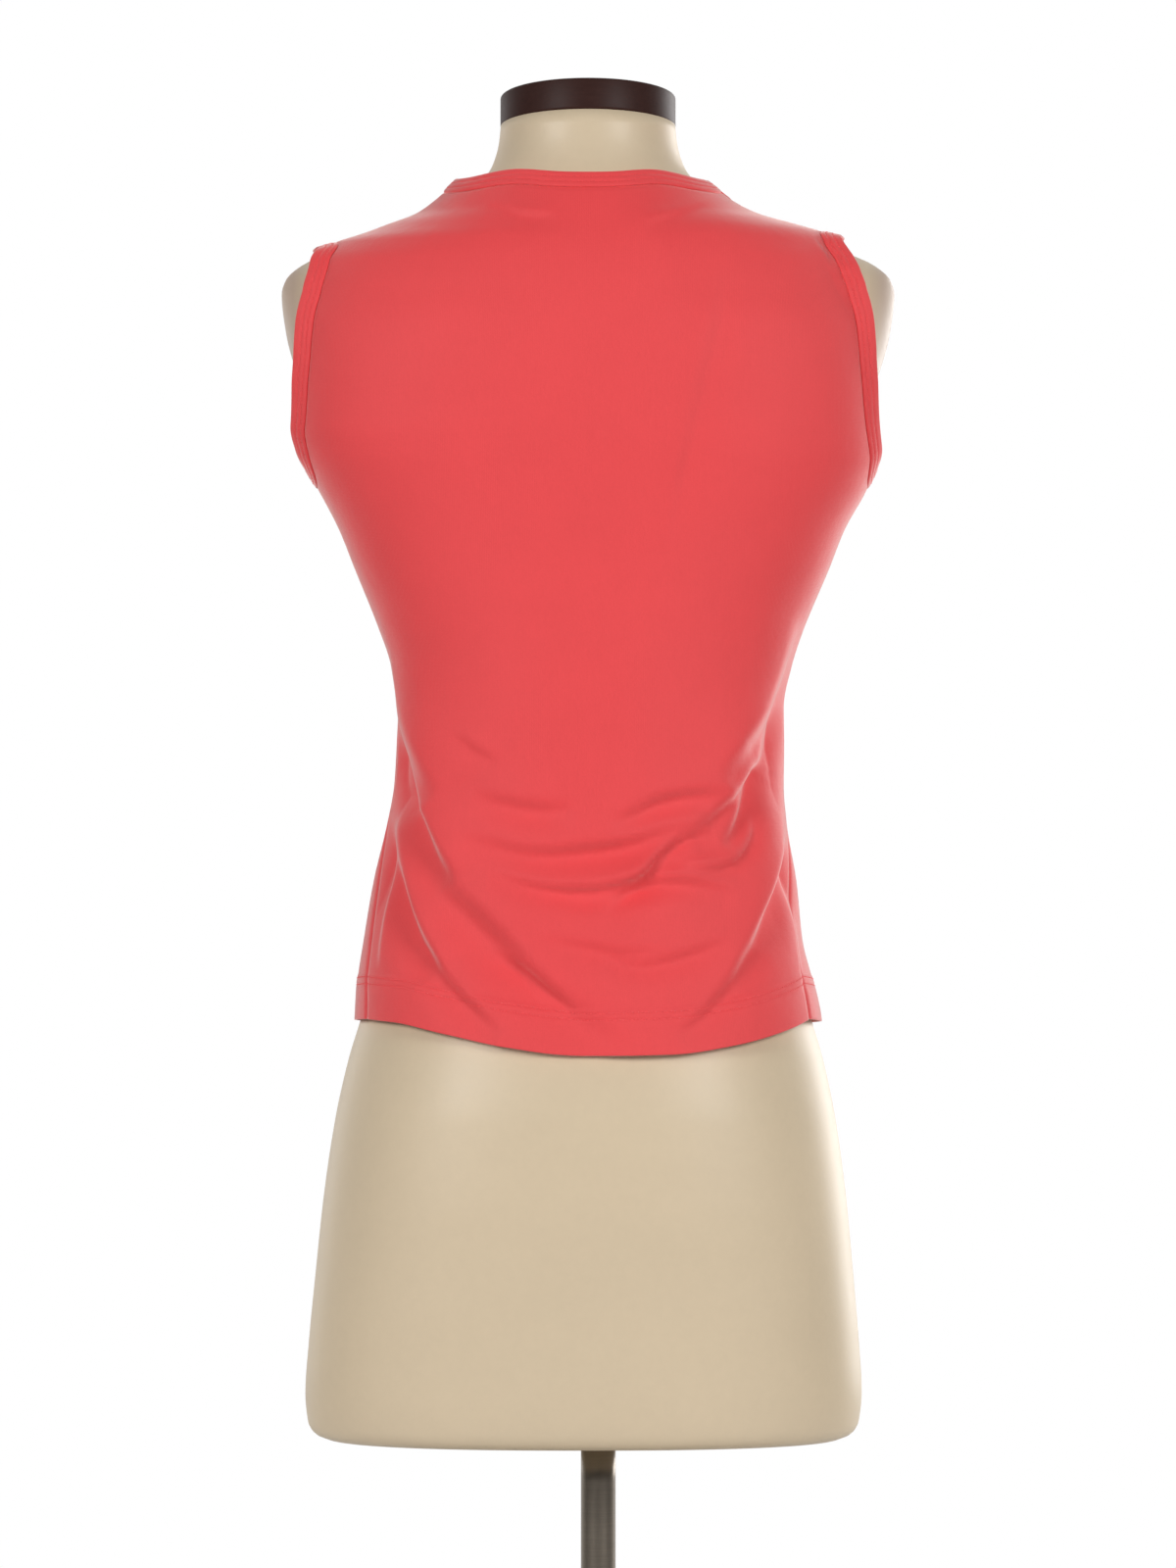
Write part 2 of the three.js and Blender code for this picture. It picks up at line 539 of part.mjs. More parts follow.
// A binding: a strip that carries on from the panels' edge, with its own thicker section, round a closed
// loop. Past the seam it leans by a vector of its own at each place, as an armhole's binding stands away from
// the arm.
function bindingGeometry(loop, width, inwards, leanAt) {
  const section = [
    [0, -BINDING_INSIDE], [0, BINDING_OUTSIDE - 0.3], [width * 0.4, BINDING_OUTSIDE],
    [width, BINDING_OUTSIDE - 0.5], [width, -BINDING_INSIDE],
  ];
  const count = loop.length;
  const near = (list, i, step) => list[(i + count + step) % count];
  const along = loop.map((_, i) => near(loop, i, 2).point.clone().sub(near(loop, i, -2).point).normalize());
  const away = loop.map(({ point, normal }, i) => {
    const out = new THREE.Vector3().crossVectors(along[i], normal).normalize();
    return inwards(point, out) ? out.negate() : out;
  });
  const rings = loop.map(({ point, normal }, i) => {
    const start = point.clone().addScaledVector(away[i], SEAM_GAP);
    const eased = new THREE.Vector3();
    for (const step of [-2, -1, 0, 1, 2]) eased.add(near(away, i, step));
    const leant = eased.normalize().add(leanAt(point)).projectOnPlane(along[i]).normalize();
    const leantNormal = new THREE.Vector3().crossVectors(along[i], leant).normalize();
    if (leantNormal.dot(normal) < 0) leantNormal.negate();
    return section.map(([out, lift]) => {
      if (out === 0) return start.clone().addScaledVector(normal, lift);
      const middle = start.clone().addScaledVector(leant, out - SEAM_GAP);
      return new THREE.Vector3(...keepClear(middle.toArray(), CLEARANCE)).addScaledVector(leantNormal, lift);
    });
  });
  const sides = section.length;
  const position = rings.flat().flatMap((p) => [p.x, p.y, p.z]);
  const index = [];
  for (let i = 0; i < count; i++) {
    for (let k = 0; k < sides; k++) {
      const [a, b] = [i * sides + k, i * sides + ((k + 1) % sides)];
      const [c, d] = [((i + 1) % count) * sides + ((k + 1) % sides), ((i + 1) % count) * sides + k];
      index.push(a, b, c, a, c, d);
    }
  }
  return solid(position, index);
}

// The form: level rings joined into one skin, closed flat below and sloped to meet the cap above.
function formGeometry() {
  const heights = FORM_SECTIONS.map((r) => r.h);
  const position = [];
  const index = [];
  heights.forEach((h) => {
    for (let i = 0; i < FORM_SEGMENTS; i++) {
      const [x, y, z] = formPoint((2 * PI * i) / FORM_SEGMENTS, h);
      const last = h === NECK_TOP;
      position.push(x, y, last ? z + (y - CAP_SHIFT) * Math.tan(CAP_TILT) : z);
    }
  });
  for (let r = 0; r < heights.length - 1; r++) {
    for (let i = 0; i < FORM_SEGMENTS; i++) {
      const [a, b] = [r * FORM_SEGMENTS + i, r * FORM_SEGMENTS + ((i + 1) % FORM_SEGMENTS)];
      index.push(a, a + FORM_SEGMENTS, b + FORM_SEGMENTS, a, b + FORM_SEGMENTS, b);
    }
  }
  const top = (heights.length - 1) * FORM_SEGMENTS;
  for (let i = 1; i < FORM_SEGMENTS - 1; i++) {
    index.push(0, i, i + 1, top, top + i + 1, top + i);
  }
  return solid(position, index);
}

// A round, solid piece turned from [radius, height] points, bottom to top.
function turned(profile, segments) {
  const points = [[0, profile[0][1]], ...profile, [0, profile[profile.length - 1][1]]];
  const lathe = new THREE.LatheGeometry(points.map(([r, z]) => new THREE.Vector2(r, z)), segments);
  lathe.deleteAttribute("normal");
  lathe.deleteAttribute("uv");
  lathe.rotateX(PI / 2);
  return mergeVertices(lathe, 1e-4);
}

function capGeometry() {
  return turned([
    [CAP_RADIUS - CAP_BEVEL, 0], [CAP_RADIUS, CAP_BEVEL], [CAP_RADIUS, CAP_HEIGHT - CAP_BEVEL],
    [CAP_RADIUS - CAP_BEVEL, CAP_HEIGHT], [CAP_RADIUS * 0.5, CAP_HEIGHT + 1],
  ], 48);
}

const finishes = {
  jersey: new THREE.MeshStandardMaterial({ name: "jersey", color: 0xe75456, roughness: 0.62 }),
  form_shell: new THREE.MeshStandardMaterial({ name: "form_shell", color: 0xddcbb0, roughness: 0.42 }),
  cap: new THREE.MeshStandardMaterial({ name: "cap", color: 0x402d2a, roughness: 0.35 }),
  steel: new THREE.MeshStandardMaterial({ name: "steel", color: 0x9a948b, roughness: 0.3, metalness: 1 }),
};

function piece(name, geometry, material) {
  const mesh = new THREE.Mesh(geometry, material);
  mesh.name = name;
  return mesh;
}

const model = new THREE.Group();

const dressed = new THREE.Group();
dressed.position.set(FORM_OFF_POLE, 0, STAND_HEIGHT);
model.add(dressed);

dressed.add(piece("back_panel", panelGeometry(PANELS.back), finishes.jersey));
dressed.add(piece("front_panel", panelGeometry(PANELS.front), finishes.jersey));
dressed.add(piece("neck_binding", bindingGeometry(
  neckLoop(), NECK_BINDING_WIDTH, (_, away) => away.z < 0, () => new THREE.Vector3()), finishes.jersey));
for (const [name, side] of [["left", 1], ["right", -1]]) {
  const middle = new THREE.Vector3(side * 180, 0, (UNDERARM + SHOULDER_TIP[name]) / 2);
  const outwards = (point, away) => middle.clone().sub(point).dot(away) < 0;
  const lean = ({ z }) => {
    const climb = (z - UNDERARM) / (SHOULDER_TIP[name] - UNDERARM);
    return new THREE.Vector3(side * ARMHOLE_LEAN * climb, 0, 0);
  };
  const binding = bindingGeometry(armholeLoop(side), ARMHOLE_BINDING_WIDTH, outwards, lean);
  dressed.add(piece(`${name}_armhole_binding`, binding, finishes.jersey));
}

dressed.add(piece("dress_form", formGeometry(), finishes.form_shell));

const cap = piece("neck_cap", capGeometry(), finishes.cap);
cap.rotation.x = CAP_TILT;
cap.position.set(0, CAP_SHIFT, NECK_TOP + SEAM_GAP);
dressed.add(cap);

const pole = piece("stand_pole", turned([
  [POLE_RADIUS, BASE_THICKNESS + SEAM_GAP], [POLE_RADIUS, STAND_HEIGHT - SEAM_GAP],
], 32), finishes.steel);
model.add(pole);

model.add(piece("stand_base", turned([
  [BASE_RADIUS, 0],
  [BASE_RADIUS, BASE_THICKNESS - BASE_CHAMFER],
  [BASE_RADIUS - BASE_CHAMFER, BASE_THICKNESS],
], 64), finishes.steel));

export default model;
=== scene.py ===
"""The looks of a jersey tank top on a dress form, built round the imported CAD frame.

The cloth, the form and the stand are worked out with numpy from short tables, as whole arrays. Heights called h
are in millimetres from the underside of the form, x is towards the wearer's left, and y is towards the back.
"""

import bpy
import numpy as np
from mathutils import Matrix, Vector


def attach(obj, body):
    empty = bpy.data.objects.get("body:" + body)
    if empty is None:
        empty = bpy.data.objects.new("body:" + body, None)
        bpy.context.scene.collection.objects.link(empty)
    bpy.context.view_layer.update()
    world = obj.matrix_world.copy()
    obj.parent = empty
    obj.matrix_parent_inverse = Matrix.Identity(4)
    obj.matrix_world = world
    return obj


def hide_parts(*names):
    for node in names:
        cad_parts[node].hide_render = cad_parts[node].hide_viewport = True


bl_info = {
    "name": "Tank Top on Dress Form",
    "version": (1, 0, 0),
    "blender": (4, 5, 0),
    "location": "View3D > Sidebar > Tank Top",
    "description": "Builds a jersey tank top on a dress form, with its stand and studio",
    "category": "Add Mesh",
}

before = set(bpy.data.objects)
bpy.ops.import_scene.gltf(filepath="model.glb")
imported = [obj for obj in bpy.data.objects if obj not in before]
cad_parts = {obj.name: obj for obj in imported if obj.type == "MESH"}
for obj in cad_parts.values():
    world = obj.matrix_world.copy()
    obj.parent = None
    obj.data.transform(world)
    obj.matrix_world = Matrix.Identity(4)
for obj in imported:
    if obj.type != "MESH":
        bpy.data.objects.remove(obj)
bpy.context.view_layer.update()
MM = 0.001

# Where the form stands, in millimetres
FORM_OFF_POLE = 6.5
STAND_HEIGHT = 310
FORM_LEAN = 3
WAIST = 450
CAP_TILT = np.radians(7)
CAP_SHIFT = -5.5

# The pattern of the top, in millimetres
UNDERARM = 600
NECK_POINT = 787
SHOULDER_TIP = (753, 760)  # the wearer's left and right
ARMHOLE_DEPTH = {"back": 42, "front": 46}
ARMHOLE_SQUARENESS = 0.58  # 1 is an oval armhole, and below 1 it is squarer
ARMHOLE_MIDDLE = 180  # how far out the middle of each armhole is
BACK_NECK = 783.5
BACK_NECK_BUMP = {"rise": 3, "at": 0.36, "reach": 0.17}
FRONT_NECK = 702
FRONT_NECK_HALF_WIDTH = 84
FRONT_NECK_FLARE = 6
FRONT_NECK_SQUARENESS = 0.8
SIDE_HEM = 265
SEAM_TURN_TOP = 400
SEAM_TURN = np.radians(21)
SEAM_GAP = 0.3
AT_SEAM = 0.9999  # a place in the pattern this far out lies on a seam
CLEARANCE = 2  # from the form to the middle of the cloth
CLEARING_ROUNDS = 6
CLEARING_STEP = 0.05

# The pattern's rows: a running number from the hem over the underarm and the shoulder tip to the neckline
BODY_ROWS = 23
ARMHOLE_ROWS = 12
SHOULDER_ROWS = 5
ROWS = BODY_ROWS + ARMHOLE_ROWS + SHOULDER_ROWS
ROW_CROWDING = 1.3
INNER_EASE = {"back": 0, "front": 0.8}  # how much less square an armhole's line is towards the middle
INNER_EVENNESS = 0.7
MIDWAY = 0.5  # from here up the armhole, the lines inside it start to spread
UNDERARM_DIP = 6
UNDERARM_DIP_REACH = 3
SLOPE_ANGLE = 0.012
SLOPE_RISE = 1.2
SIDE_FADE = 4  # how sharply folds die away at the side
FOLD_STEPS = 24
FOLD_REACH = 3  # a fold's bells are zero this many times their width away
FOLD_TAPER = 0.8

# The panels' grid: heights above the hem, in millimetres as start, end and step, and places across
ROW_SPANS = ((0, 31, 0.75), (32, 200, 2.6), (204, 335, 5))
ROWS_ROUND_ARMHOLE = 46
ROWS_ON_SHOULDER = 24
SHOULDER_CROWDING = 1.5
COLUMNS = {"back": 200, "front": 150}
EDGE_COLUMNS = (0.99, 0.9935, 0.996, 0.998, 1)
LAST_EVEN_COLUMN = 0.985

# Grooves under a row of stitches, and the panels' edges, which dip under the bindings
HEM_GROOVE = (0.3, 0.8)  # depth and width
BINDING_GROOVE = (0.32, 0.75)
HEM_STEP = 0.6  # the hem's edge inside is rounded over this height
EDGE_DIP = 0.8
EDGE_DIP_REACH = 1.7

# Bindings and stitches, in millimetres but for the counts
NECK_WIDTH = 10.5
ARMHOLE_WIDTH = 12.5
ARMHOLE_LEAN = 1.3  # outwards, most at the shoulder tip and behind it
LEAN_FROM = 8
LEAN_REACH = 5
BINDING_STEP = 1.8
LOOP_LOOKS = 240  # places in the first look at each stretch of a loop
BINDING_EASE = 3
BINDING_SMOOTHING = 15  # in steps
BINDING_TURN = 4
BINDING_LAP = 0.9
BINDING_FOLD = 0.7  # how far the rounded fold at the free edge reaches
NECK_ROWS = (2.8, 6.6)  # rows of stitches, out from the seam
ARMHOLE_ROWS_OUT = (2.7, 6.8)
HEM_ROWS = (22.0, 26.3)  # and up from the hem
HEM_LINE_STEP = 2.5
STITCH_LIFT = 1.3
STITCH_SIDES = 6
STITCH_RADIUS = 0.27
STITCH_SHARE = 0.74  # of its length with the gap

ARM_SHADE_START = 17.6  # painted shade and painted red light bounced from the cloth start on the arm stubs this many centimetres out from the middle
CAP_BEVEL = 1.6
CAP_CROWN = 1
BASE_BEVEL = 1.6

# The studio, in metres. Lamps: name, place, size of the side and power
FLOOR_RADIUS = 1.5
FORM_MIDDLE = 0.75
LAMPS = (
    ("left key", (1.9, 2.4, 1.7), 1.0, 50),
    ("right key", (-1.9, 2.4, 1.7), 1.0, 50),
    ("right rim", (-1.9, -2.0, 1.1), 1.8, 42),
    ("left rim", (2.0, -2.2, 1.0), 1.4, 5),
)


def table(columns, *rows):
    """A table as whole columns: each name with the array of its values."""
    return dict(zip(columns.split(), np.array(rows, float).T))


FORM_SECTIONS = table(
    "h half back front corner",
    (0, 163, 93, 85, 0.8),
    (3, 170, 97, 88.5, 0.8),
    (10, 174, 100.5, 91, 0.8),
    (28, 175.8, 104, 93.5, 0.8),
    (60, 173.8, 107.5, 95.5, 0.81),
    (102, 170, 111, 97, 0.83),
    (152, 165, 114.5, 98, 0.85),
    (201, 158, 113, 97, 0.87),
    (238, 150, 107.5, 95.5, 0.89),
    (265, 142, 102, 94, 0.9),
    (300, 132.5, 92.5, 91, 0.91),
    (350, 121, 78.5, 87, 0.92),
    (400, 113.5, 68.5, 83.5, 0.92),
    (436, 111.5, 65.5, 83.5, 0.92),
    (474, 114, 68, 88, 0.92),
    (523, 126, 75, 101, 0.92),
    (573, 143, 84, 117, 0.93),
    (600, 153, 88.5, 121.5, 0.95),
    (630, 167, 92, 118, 1),
    (660, 180, 94.5, 107, 1.04),
    (697, 191, 92.5, 90, 1.17),
    (722, 193.8, 87, 80, 1.4),
    (731, 191, 85, 76, 1.5),
    (740, 181, 82.5, 71.5, 1.5),
    (748, 163, 80, 67.5, 1.47),
    (755, 142, 77.5, 64, 1.42),
    (762, 123, 74.5, 61, 1.36),
    (770, 105, 71, 58, 1.28),
    (778, 89, 67, 55, 1.2),
    (786, 76, 62.5, 53.5, 1.1),
    (794, 66.5, 58, 54, 1.03),
    (803, 60.5, 54, 56, 1),
    (817, 56.4, 50.8, 59.5, 1),
    (827, 55.3, 50, 60.8, 1),
)
CLOTH_SECTIONS = table(
    "h left right back front corner",
    (240, 147.5, 148.5, 112, 101.5, 0.86),
    (265, 146.3, 146.3, 108.5, 101, 0.87),
    (288, 145, 141.4, 105, 100.5, 0.88),
    (313, 141.4, 135.2, 101.5, 100, 0.89),
    (350, 135.2, 131.4, 98, 100, 0.9),
    (387, 126.5, 125.2, 95.5, 101, 0.91),
    (412, 122.1, 123.4, 94.5, 102.5, 0.92),
    (437, 120.6, 123.7, 93.5, 104.5, 0.92),
    (461, 119.7, 123.4, 93, 107, 0.92),
    (486, 123.4, 128.3, 92.5, 110.5, 0.92),
    (511, 132, 136.4, 92, 115, 0.91),
    (548, 146.9, 151.9, 92.5, 121, 0.89),
    (573, 156.9, 161.8, 93.5, 124.5, 0.87),
    (600, 171, 176.5, 95, 126, 0.85),
    (620, 182, 183, 96.5, 124.5, 0.84),
    (635, 186, 182.5, 97.2, 121, 0.83),
    (660, 186, 182, 97.5, 112, 0.83),
    (680, 185.5, 181.5, 97, 103.5, 0.85),
    (700, 185.6, 181.5, 95.5, 94.5, 0.9),
    (722, 183.5, 178.5, 92, 84.5, 1.02),
    (740, 179, 174.5, 87.5, 77, 1.22),
    (753, 162, 163, 83, 71, 1.31),
    (760, 141, 150, 80, 67.5, 1.31),
    (765, 127.7, 133, 77.7, 65, 1.29),
    (772, 109, 107.9, 74.5, 62, 1.24),
    (780, 97.3, 91.8, 70.5, 59.5, 1.16),
    (787, 89.3, 82, 66.5, 58, 1.1),
)
# The hem's height round each half, from the wearer's right side seam (-1) to the left (1)
HEM_LINE = table(
    "u back front",
    (-1, 265, 265),
    (-0.75, 257.5, 261),
    (-0.5, 250.3, 258.5),
    (-0.25, 245.3, 257.5),
    (0, 244.6, 257),
    (0.25, 249.8, 257.5),
    (0.5, 257.5, 259),
    (0.75, 263.6, 262),
    (1, 265, 265),
)

# Folds: name, crest, drop, inner, step, outer and then the line's points as x and h. The cloth rises to the
# crest over the inner reach, falls over the step by crest and drop together, and comes back over the outer
# reach. The falling side is on the left of the line as it is walked, seen with x to the right and h up.
BACK_FOLDS = (
    ("left flank fold", 3, 9, 22, 19, 15, ((128, 522), (120, 488), (109, 450), (98, 426), (86, 408))),
    ("left drape", 4, 8, 20, 10, 18,
     ((121, 490), (116, 448), (109, 418), (98, 393), (87, 370), (77, 356))),
    ("diagonal valley", 2.5, 6, 24, 18, 18,
     ((100, 392), (82, 358), (64, 340), (45, 322), (17, 294), (-12, 272), (-30, 256))),
    ("left under drape", 4, 8, 16, 10, 15,
     ((123, 424), (118, 378), (112, 353), (104, 331), (94, 312), (86, 300))),
    ("left under valley", 1, 4, 14, 10, 12, ((96, 318), (84, 296), (66, 278), (48, 262))),
    ("left side pleat", 1.5, 3, 6, 4, 8, ((122, 394), (125, 360), (128, 335), (129, 296))),
    ("right flank fold", 3, 9, 22, 17, 15, ((-74, 420), (-92, 440), (-108, 462), (-120, 494), (-127, 520))),
    ("right drape", 4, 7, 20, 10, 18,
     ((-58, 386), (-76, 398), (-89, 410), (-103, 425), (-110, 434), (-121, 466))),
    ("pocket edge", 2.5, 5, 9, 8, 11, ((-80, 376), (-90, 390), (-97, 405), (-104, 426))),
    ("right under drape", 4, 7.5, 16, 10, 16,
     ((-84, 292), (-97, 316), (-105, 333), (-112, 349), (-116, 363), (-119, 376), (-121, 400))),
    ("right under valley", 1, 3.5, 14, 10, 12, ((-50, 262), (-68, 276), (-84, 294), (-94, 314))),
    ("right side pleat", 1.5, 3, 6, 4, 8, ((-132, 280), (-130, 316), (-128, 336), (-124, 354), (-119, 376))),
    ("seat swag", 3, 6.5, 10, 6, 9,
     ((58, 360), (27, 352), (-3, 351), (-29, 358), (-42, 370), (-59, 382), (-80, 386))),
    ("seat swag ridge", 1.4, 1.2, 6, 5, 6, ((17, 342), (-12, 345), (-38, 360), (-58, 370), (-76, 376))),
    ("swag above", 2.6, 5, 13, 9, 11, ((78, 386), (37, 376), (7, 377), (-23, 381), (-48, 389), (-72, 393))),
    ("upper swag right", 2.4, 4.6, 11, 9, 11, ((-10, 392), (-26, 400), (-44, 408), (-70, 412), (-90, 411))),
    ("upper swag left", 1.6, 3.2, 11, 9, 11, ((70, 411), (36, 404), (8, 403))),
    ("pocket crease", 1.8, 2.6, 5, 4, 6,
     ((-54, 366), (-68, 363), (-80, 363), (-92, 368), (-101, 380), (-105, 392))),
    ("low swag right", 2.4, 4.6, 9, 7, 9, ((-6, 335), (-24, 349), (-44, 356), (-64, 356), (-92, 350))),
    ("low swag", 1.3, 2.8, 9, 7, 9, ((30, 322), (-3, 316), (-23, 313), (-50, 316))),
    ("hem swag", 1.4, 2.8, 9, 7, 9, ((-10, 308), (-33, 305), (-59, 311), (-86, 320))),
    ("left low crease", 1.4, 3, 8, 6, 8, ((62, 312), (40, 303), (24, 291), (4, 275))),
    ("left small crease", 0.6, 1.2, 7, 5, 7, ((82, 446), (53, 427))),
    ("shoulder blade crease", 0.7, 1, 12, 6, 12, ((-48, 560), (-53, 602), (-61, 639), (-75, 697), (-80, 734))),
    ("neck crease left", 0.8, 1.6, 6, 6, 8, ((60, 777), (40, 770), (18, 768))),
    ("neck crease right", 0.8, 1.6, 6, 6, 8, ((-32, 762), (-54, 770), (-76, 778))),
    ("shoulder tip crease", 0.8, 1.4, 4, 4, 6, ((-150, 738), (-146, 746), (-140, 753))),
)
FRONT_FOLDS = (
    ("bust drape right", 2.5, 4, 18, 14, 18, ((-70, 560), (-78, 470), (-72, 380), (-80, 300))),
    ("bust drape left", 2.5, 4, 18, 14, 18, ((70, 290), (80, 390), (74, 480), (62, 570))),
    ("middle drape right", 2, 3, 16, 14, 16, ((-46, 280), (-40, 340), (-44, 420), (-36, 500))),
    ("middle drape left", 2, 3, 16, 14, 16, ((28, 490), (38, 410), (42, 330), (34, 270))),
    ("left side drag", 1.5, 3, 9, 6, 10, ((134, 560), (112, 540), (88, 536))),
    ("right side drag", 1.5, 3, 9, 6, 10, ((-92, 538), (-114, 544), (-138, 566))),
)


# Curves and surfaces of the pattern

def column(rows, key, by="h"):
    """A smooth curve through one column of a table: cubics whose slope at each row is the harmonic mean of
    the slopes on both sides, and level where those have opposite signs, so that it never overshoots."""
    x, y = rows[by], rows[key]
    width = np.diff(x)
    slope = np.diff(y) / width
    product = slope[:-1] * slope[1:]
    total = slope[:-1] + slope[1:]
    level = product <= 0
    middle = np.where(level, 0, 2 * product / np.where(level, 1, total))
    tangent = np.concatenate((slope[:1], middle, slope[-1:]))

    def curve(at):
        at = np.clip(at, x[0], x[-1])
        i = np.clip(np.searchsorted(x, at, side="right") - 1, 0, len(x) - 2)
        t = (at - x[i]) / width[i]
        t2, t3 = t * t, t * t * t
        ends = (2 * t3 - 3 * t2 + 1) * y[i] + (3 * t2 - 2 * t3) * y[i + 1]
        return ends + ((t3 - 2 * t2 + t) * tangent[i] + (t3 - t2) * tangent[i + 1]) * width[i]

    return curve


FORM = {key: column(FORM_SECTIONS, key) for key in ("half", "back", "front", "corner")}
CLOTH = {key: column(CLOTH_SECTIONS, key) for key in ("left", "right", "back", "front", "corner")}
HEM = {key: column(HEM_LINE, key, "u") for key in ("back", "front")}


def outline(angle, half, depth, corner):
    """A point of a level outline: half-width times the sine and depth times the cosine, each to a corner
    power. The angle runs from the middle of the back (0) to the wearer's left (a quarter turn)."""
    s, c = np.sin(angle), np.cos(angle)
    x = half * np.sign(s) * np.abs(s) ** np.minimum(1, corner)
    return x, depth * np.sign(c) * np.abs(c) ** corner


def smooth(t):
    """From 0 to 1 with a level start and end: three times the square less twice the cube."""
    return t * t * (3 - 2 * t)


def bell(away, reach):
    """One at zero, and falling off as e to the power of minus the square of the distance over the reach."""
    return np.exp(-(away / reach) ** 2)


def form_shift(h):
    """How far the form's middle has moved to the wearer's left, in proportion to the depth below the
    waist."""
    return FORM_LEAN * np.maximum(0, 1 - h / WAIST)


def form_level(points):
    """Zero on the form's surface and positive outside it: the outline's own equation at the point's
    height."""
    x, y, h = points[..., 0], points[..., 1], points[..., 2]
    corner = FORM["corner"](h)
    depth = np.where(y > 0, FORM["back"](h), FORM["front"](h))
    across = np.abs(x - form_shift(h)) / FORM["half"](h)
    return across ** (2 / np.minimum(1, corner)) + (np.abs(y) / depth) ** (2 / corner) - 1


def keep_clear(points, clearance):
    """Moves points straight out of the form, by Newton's steps, until they are a clearance away from it."""
    points = points.copy()
    for _ in range(CLEARING_ROUNDS):
        slope = np.stack([
            (form_level(points + axis) - form_level(points - axis)) / (2 * CLEARING_STEP)
            for axis in np.eye(3) * CLEARING_STEP
        ], axis=-1)
        steep = np.linalg.norm(slope, axis=-1)
        steep = np.where(steep == 0, 1, steep)
        short = clearance - form_level(points) / steep
        short = np.where(points[..., 2] < FORM_SECTIONS["h"][-1], np.maximum(short, 0), 0)
        points += slope * (short / steep)[..., None]
    return points


def smooth_path(points, steps):
    """A Catmull-Rom curve through points of any dimension, evenly stepped between each two of them."""
    points = np.array(points, float)
    padded = np.vstack((2 * points[0] - points[1], points, 2 * points[-1] - points[-2]))
    t = np.linspace(0, 1, steps, endpoint=False)[:, None]
    spans = []
    for a, b, c, d in zip(padded, padded[1:], padded[2:], padded[3:]):
        spans.append(0.5 * (2 * b + (c - a) * t + (2 * a - 5 * b + 4 * c - d) * t ** 2
                            + (3 * b - a - 3 * c + d) * t ** 3))
    return np.vstack(spans + [points[-1:]])


def fold_lift(fold, x, h):
    """How far one fold lifts the cloth at x, h. With d the signed distance from the line: a bell up to the
    crest where d is negative, half a cosine wave down over the step, and a bell back up from the drop beyond
    it. All of it times a power of the sine along the line, which is zero at both ends."""
    _, crest, drop, inner, step, outer, path = fold
    line = smooth_path(path, max(2, FOLD_STEPS // (len(path) - 1)))
    margin = max(FOLD_REACH * inner, FOLD_REACH * outer + step)
    low, high = line.min(axis=0) - margin, line.max(axis=0) + margin
    lift = np.zeros(x.shape)
    near = (x > low[0]) & (x < high[0]) & (h > low[1]) & (h < high[1])
    x, h = x[near], h[near]
    best = np.full(x.shape, np.inf)
    signed = np.zeros(x.shape)
    along = np.zeros(x.shape)
    for i, ((ax, ah), (bx, bh)) in enumerate(zip(line, line[1:])):
        dx, dh = bx - ax, bh - ah
        t = np.clip(((x - ax) * dx + (h - ah) * dh) / (dx * dx + dh * dh), 0, 1)
        away = np.hypot(x - ax - t * dx, h - ah - t * dh)
        nearer = away < best
        best = np.where(nearer, away, best)
        side = np.sign(dx * (h - ah) - dh * (x - ax))
        signed = np.where(nearer, side * away, signed)
        along = np.where(nearer, (i + t) / (len(line) - 1), along)
    rise = crest * bell(signed, inner)
    wave = crest - (crest + drop) * (1 - np.cos(np.pi * np.clip(signed / step, 0, 1))) / 2
    back = -drop * bell(signed - step, outer)
    ends = np.sin(np.pi * along) ** FOLD_TAPER
    lift[near] = ends * np.where(signed < 0, rise, np.where(signed < step, wave, back))
    return lift


def cloth_point(angle, h):
    """The middle of the cloth: the garment's outline at the height, moved outwards by every fold, faded at
    the sides, and kept clear of the form."""
    half = np.where(np.sin(angle) > 0, CLOTH["left"](h), CLOTH["right"](h))
    behind = np.cos(angle) > 0
    depth = np.where(behind, CLOTH["back"](h), CLOTH["front"](h))
    x, y = outline(angle, half, depth, CLOTH["corner"](h))
    lift = np.zeros(x.shape)
    for folds, here in ((BACK_FOLDS, behind), (FRONT_FOLDS, ~behind)):
        if here.any():
            lift[here] = sum(fold_lift(fold, x[here], h[here]) for fold in folds)
    lift *= np.minimum(1, np.abs(np.cos(angle)) * SIDE_FADE)
    out = np.stack((x / half ** 2, y / CLOTH["back"](h) ** 2), axis=-1)
    out /= np.linalg.norm(out, axis=-1, keepdims=True)
    points = np.stack((x + lift * out[..., 0], y + lift * out[..., 1], h), axis=-1)
    return keep_clear(points, CLEARANCE)


def unit(vectors):
    """Vectors of length one."""
    return vectors / np.linalg.norm(vectors, axis=-1, keepdims=True)


def cloth_frame(angle, h):
    """A place on the cloth, its outward normal as the cross product of its slopes, and the level
    direction."""
    across = unit(cloth_point(angle + SLOPE_ANGLE, h) - cloth_point(angle - SLOPE_ANGLE, h))
    up = cloth_point(angle, h + SLOPE_RISE) - cloth_point(angle, h - SLOPE_RISE)
    return cloth_point(angle, h), unit(np.cross(up, across)), across


def seam_angle(h):
    """The side seam's angle from the middle of the back: a quarter turn, drifting back below the waist."""
    t = np.clip((SEAM_TURN_TOP - h) / (SEAM_TURN_TOP - SIDE_HEM), 0, 1)
    return np.pi / 2 - SEAM_TURN * smooth(t)


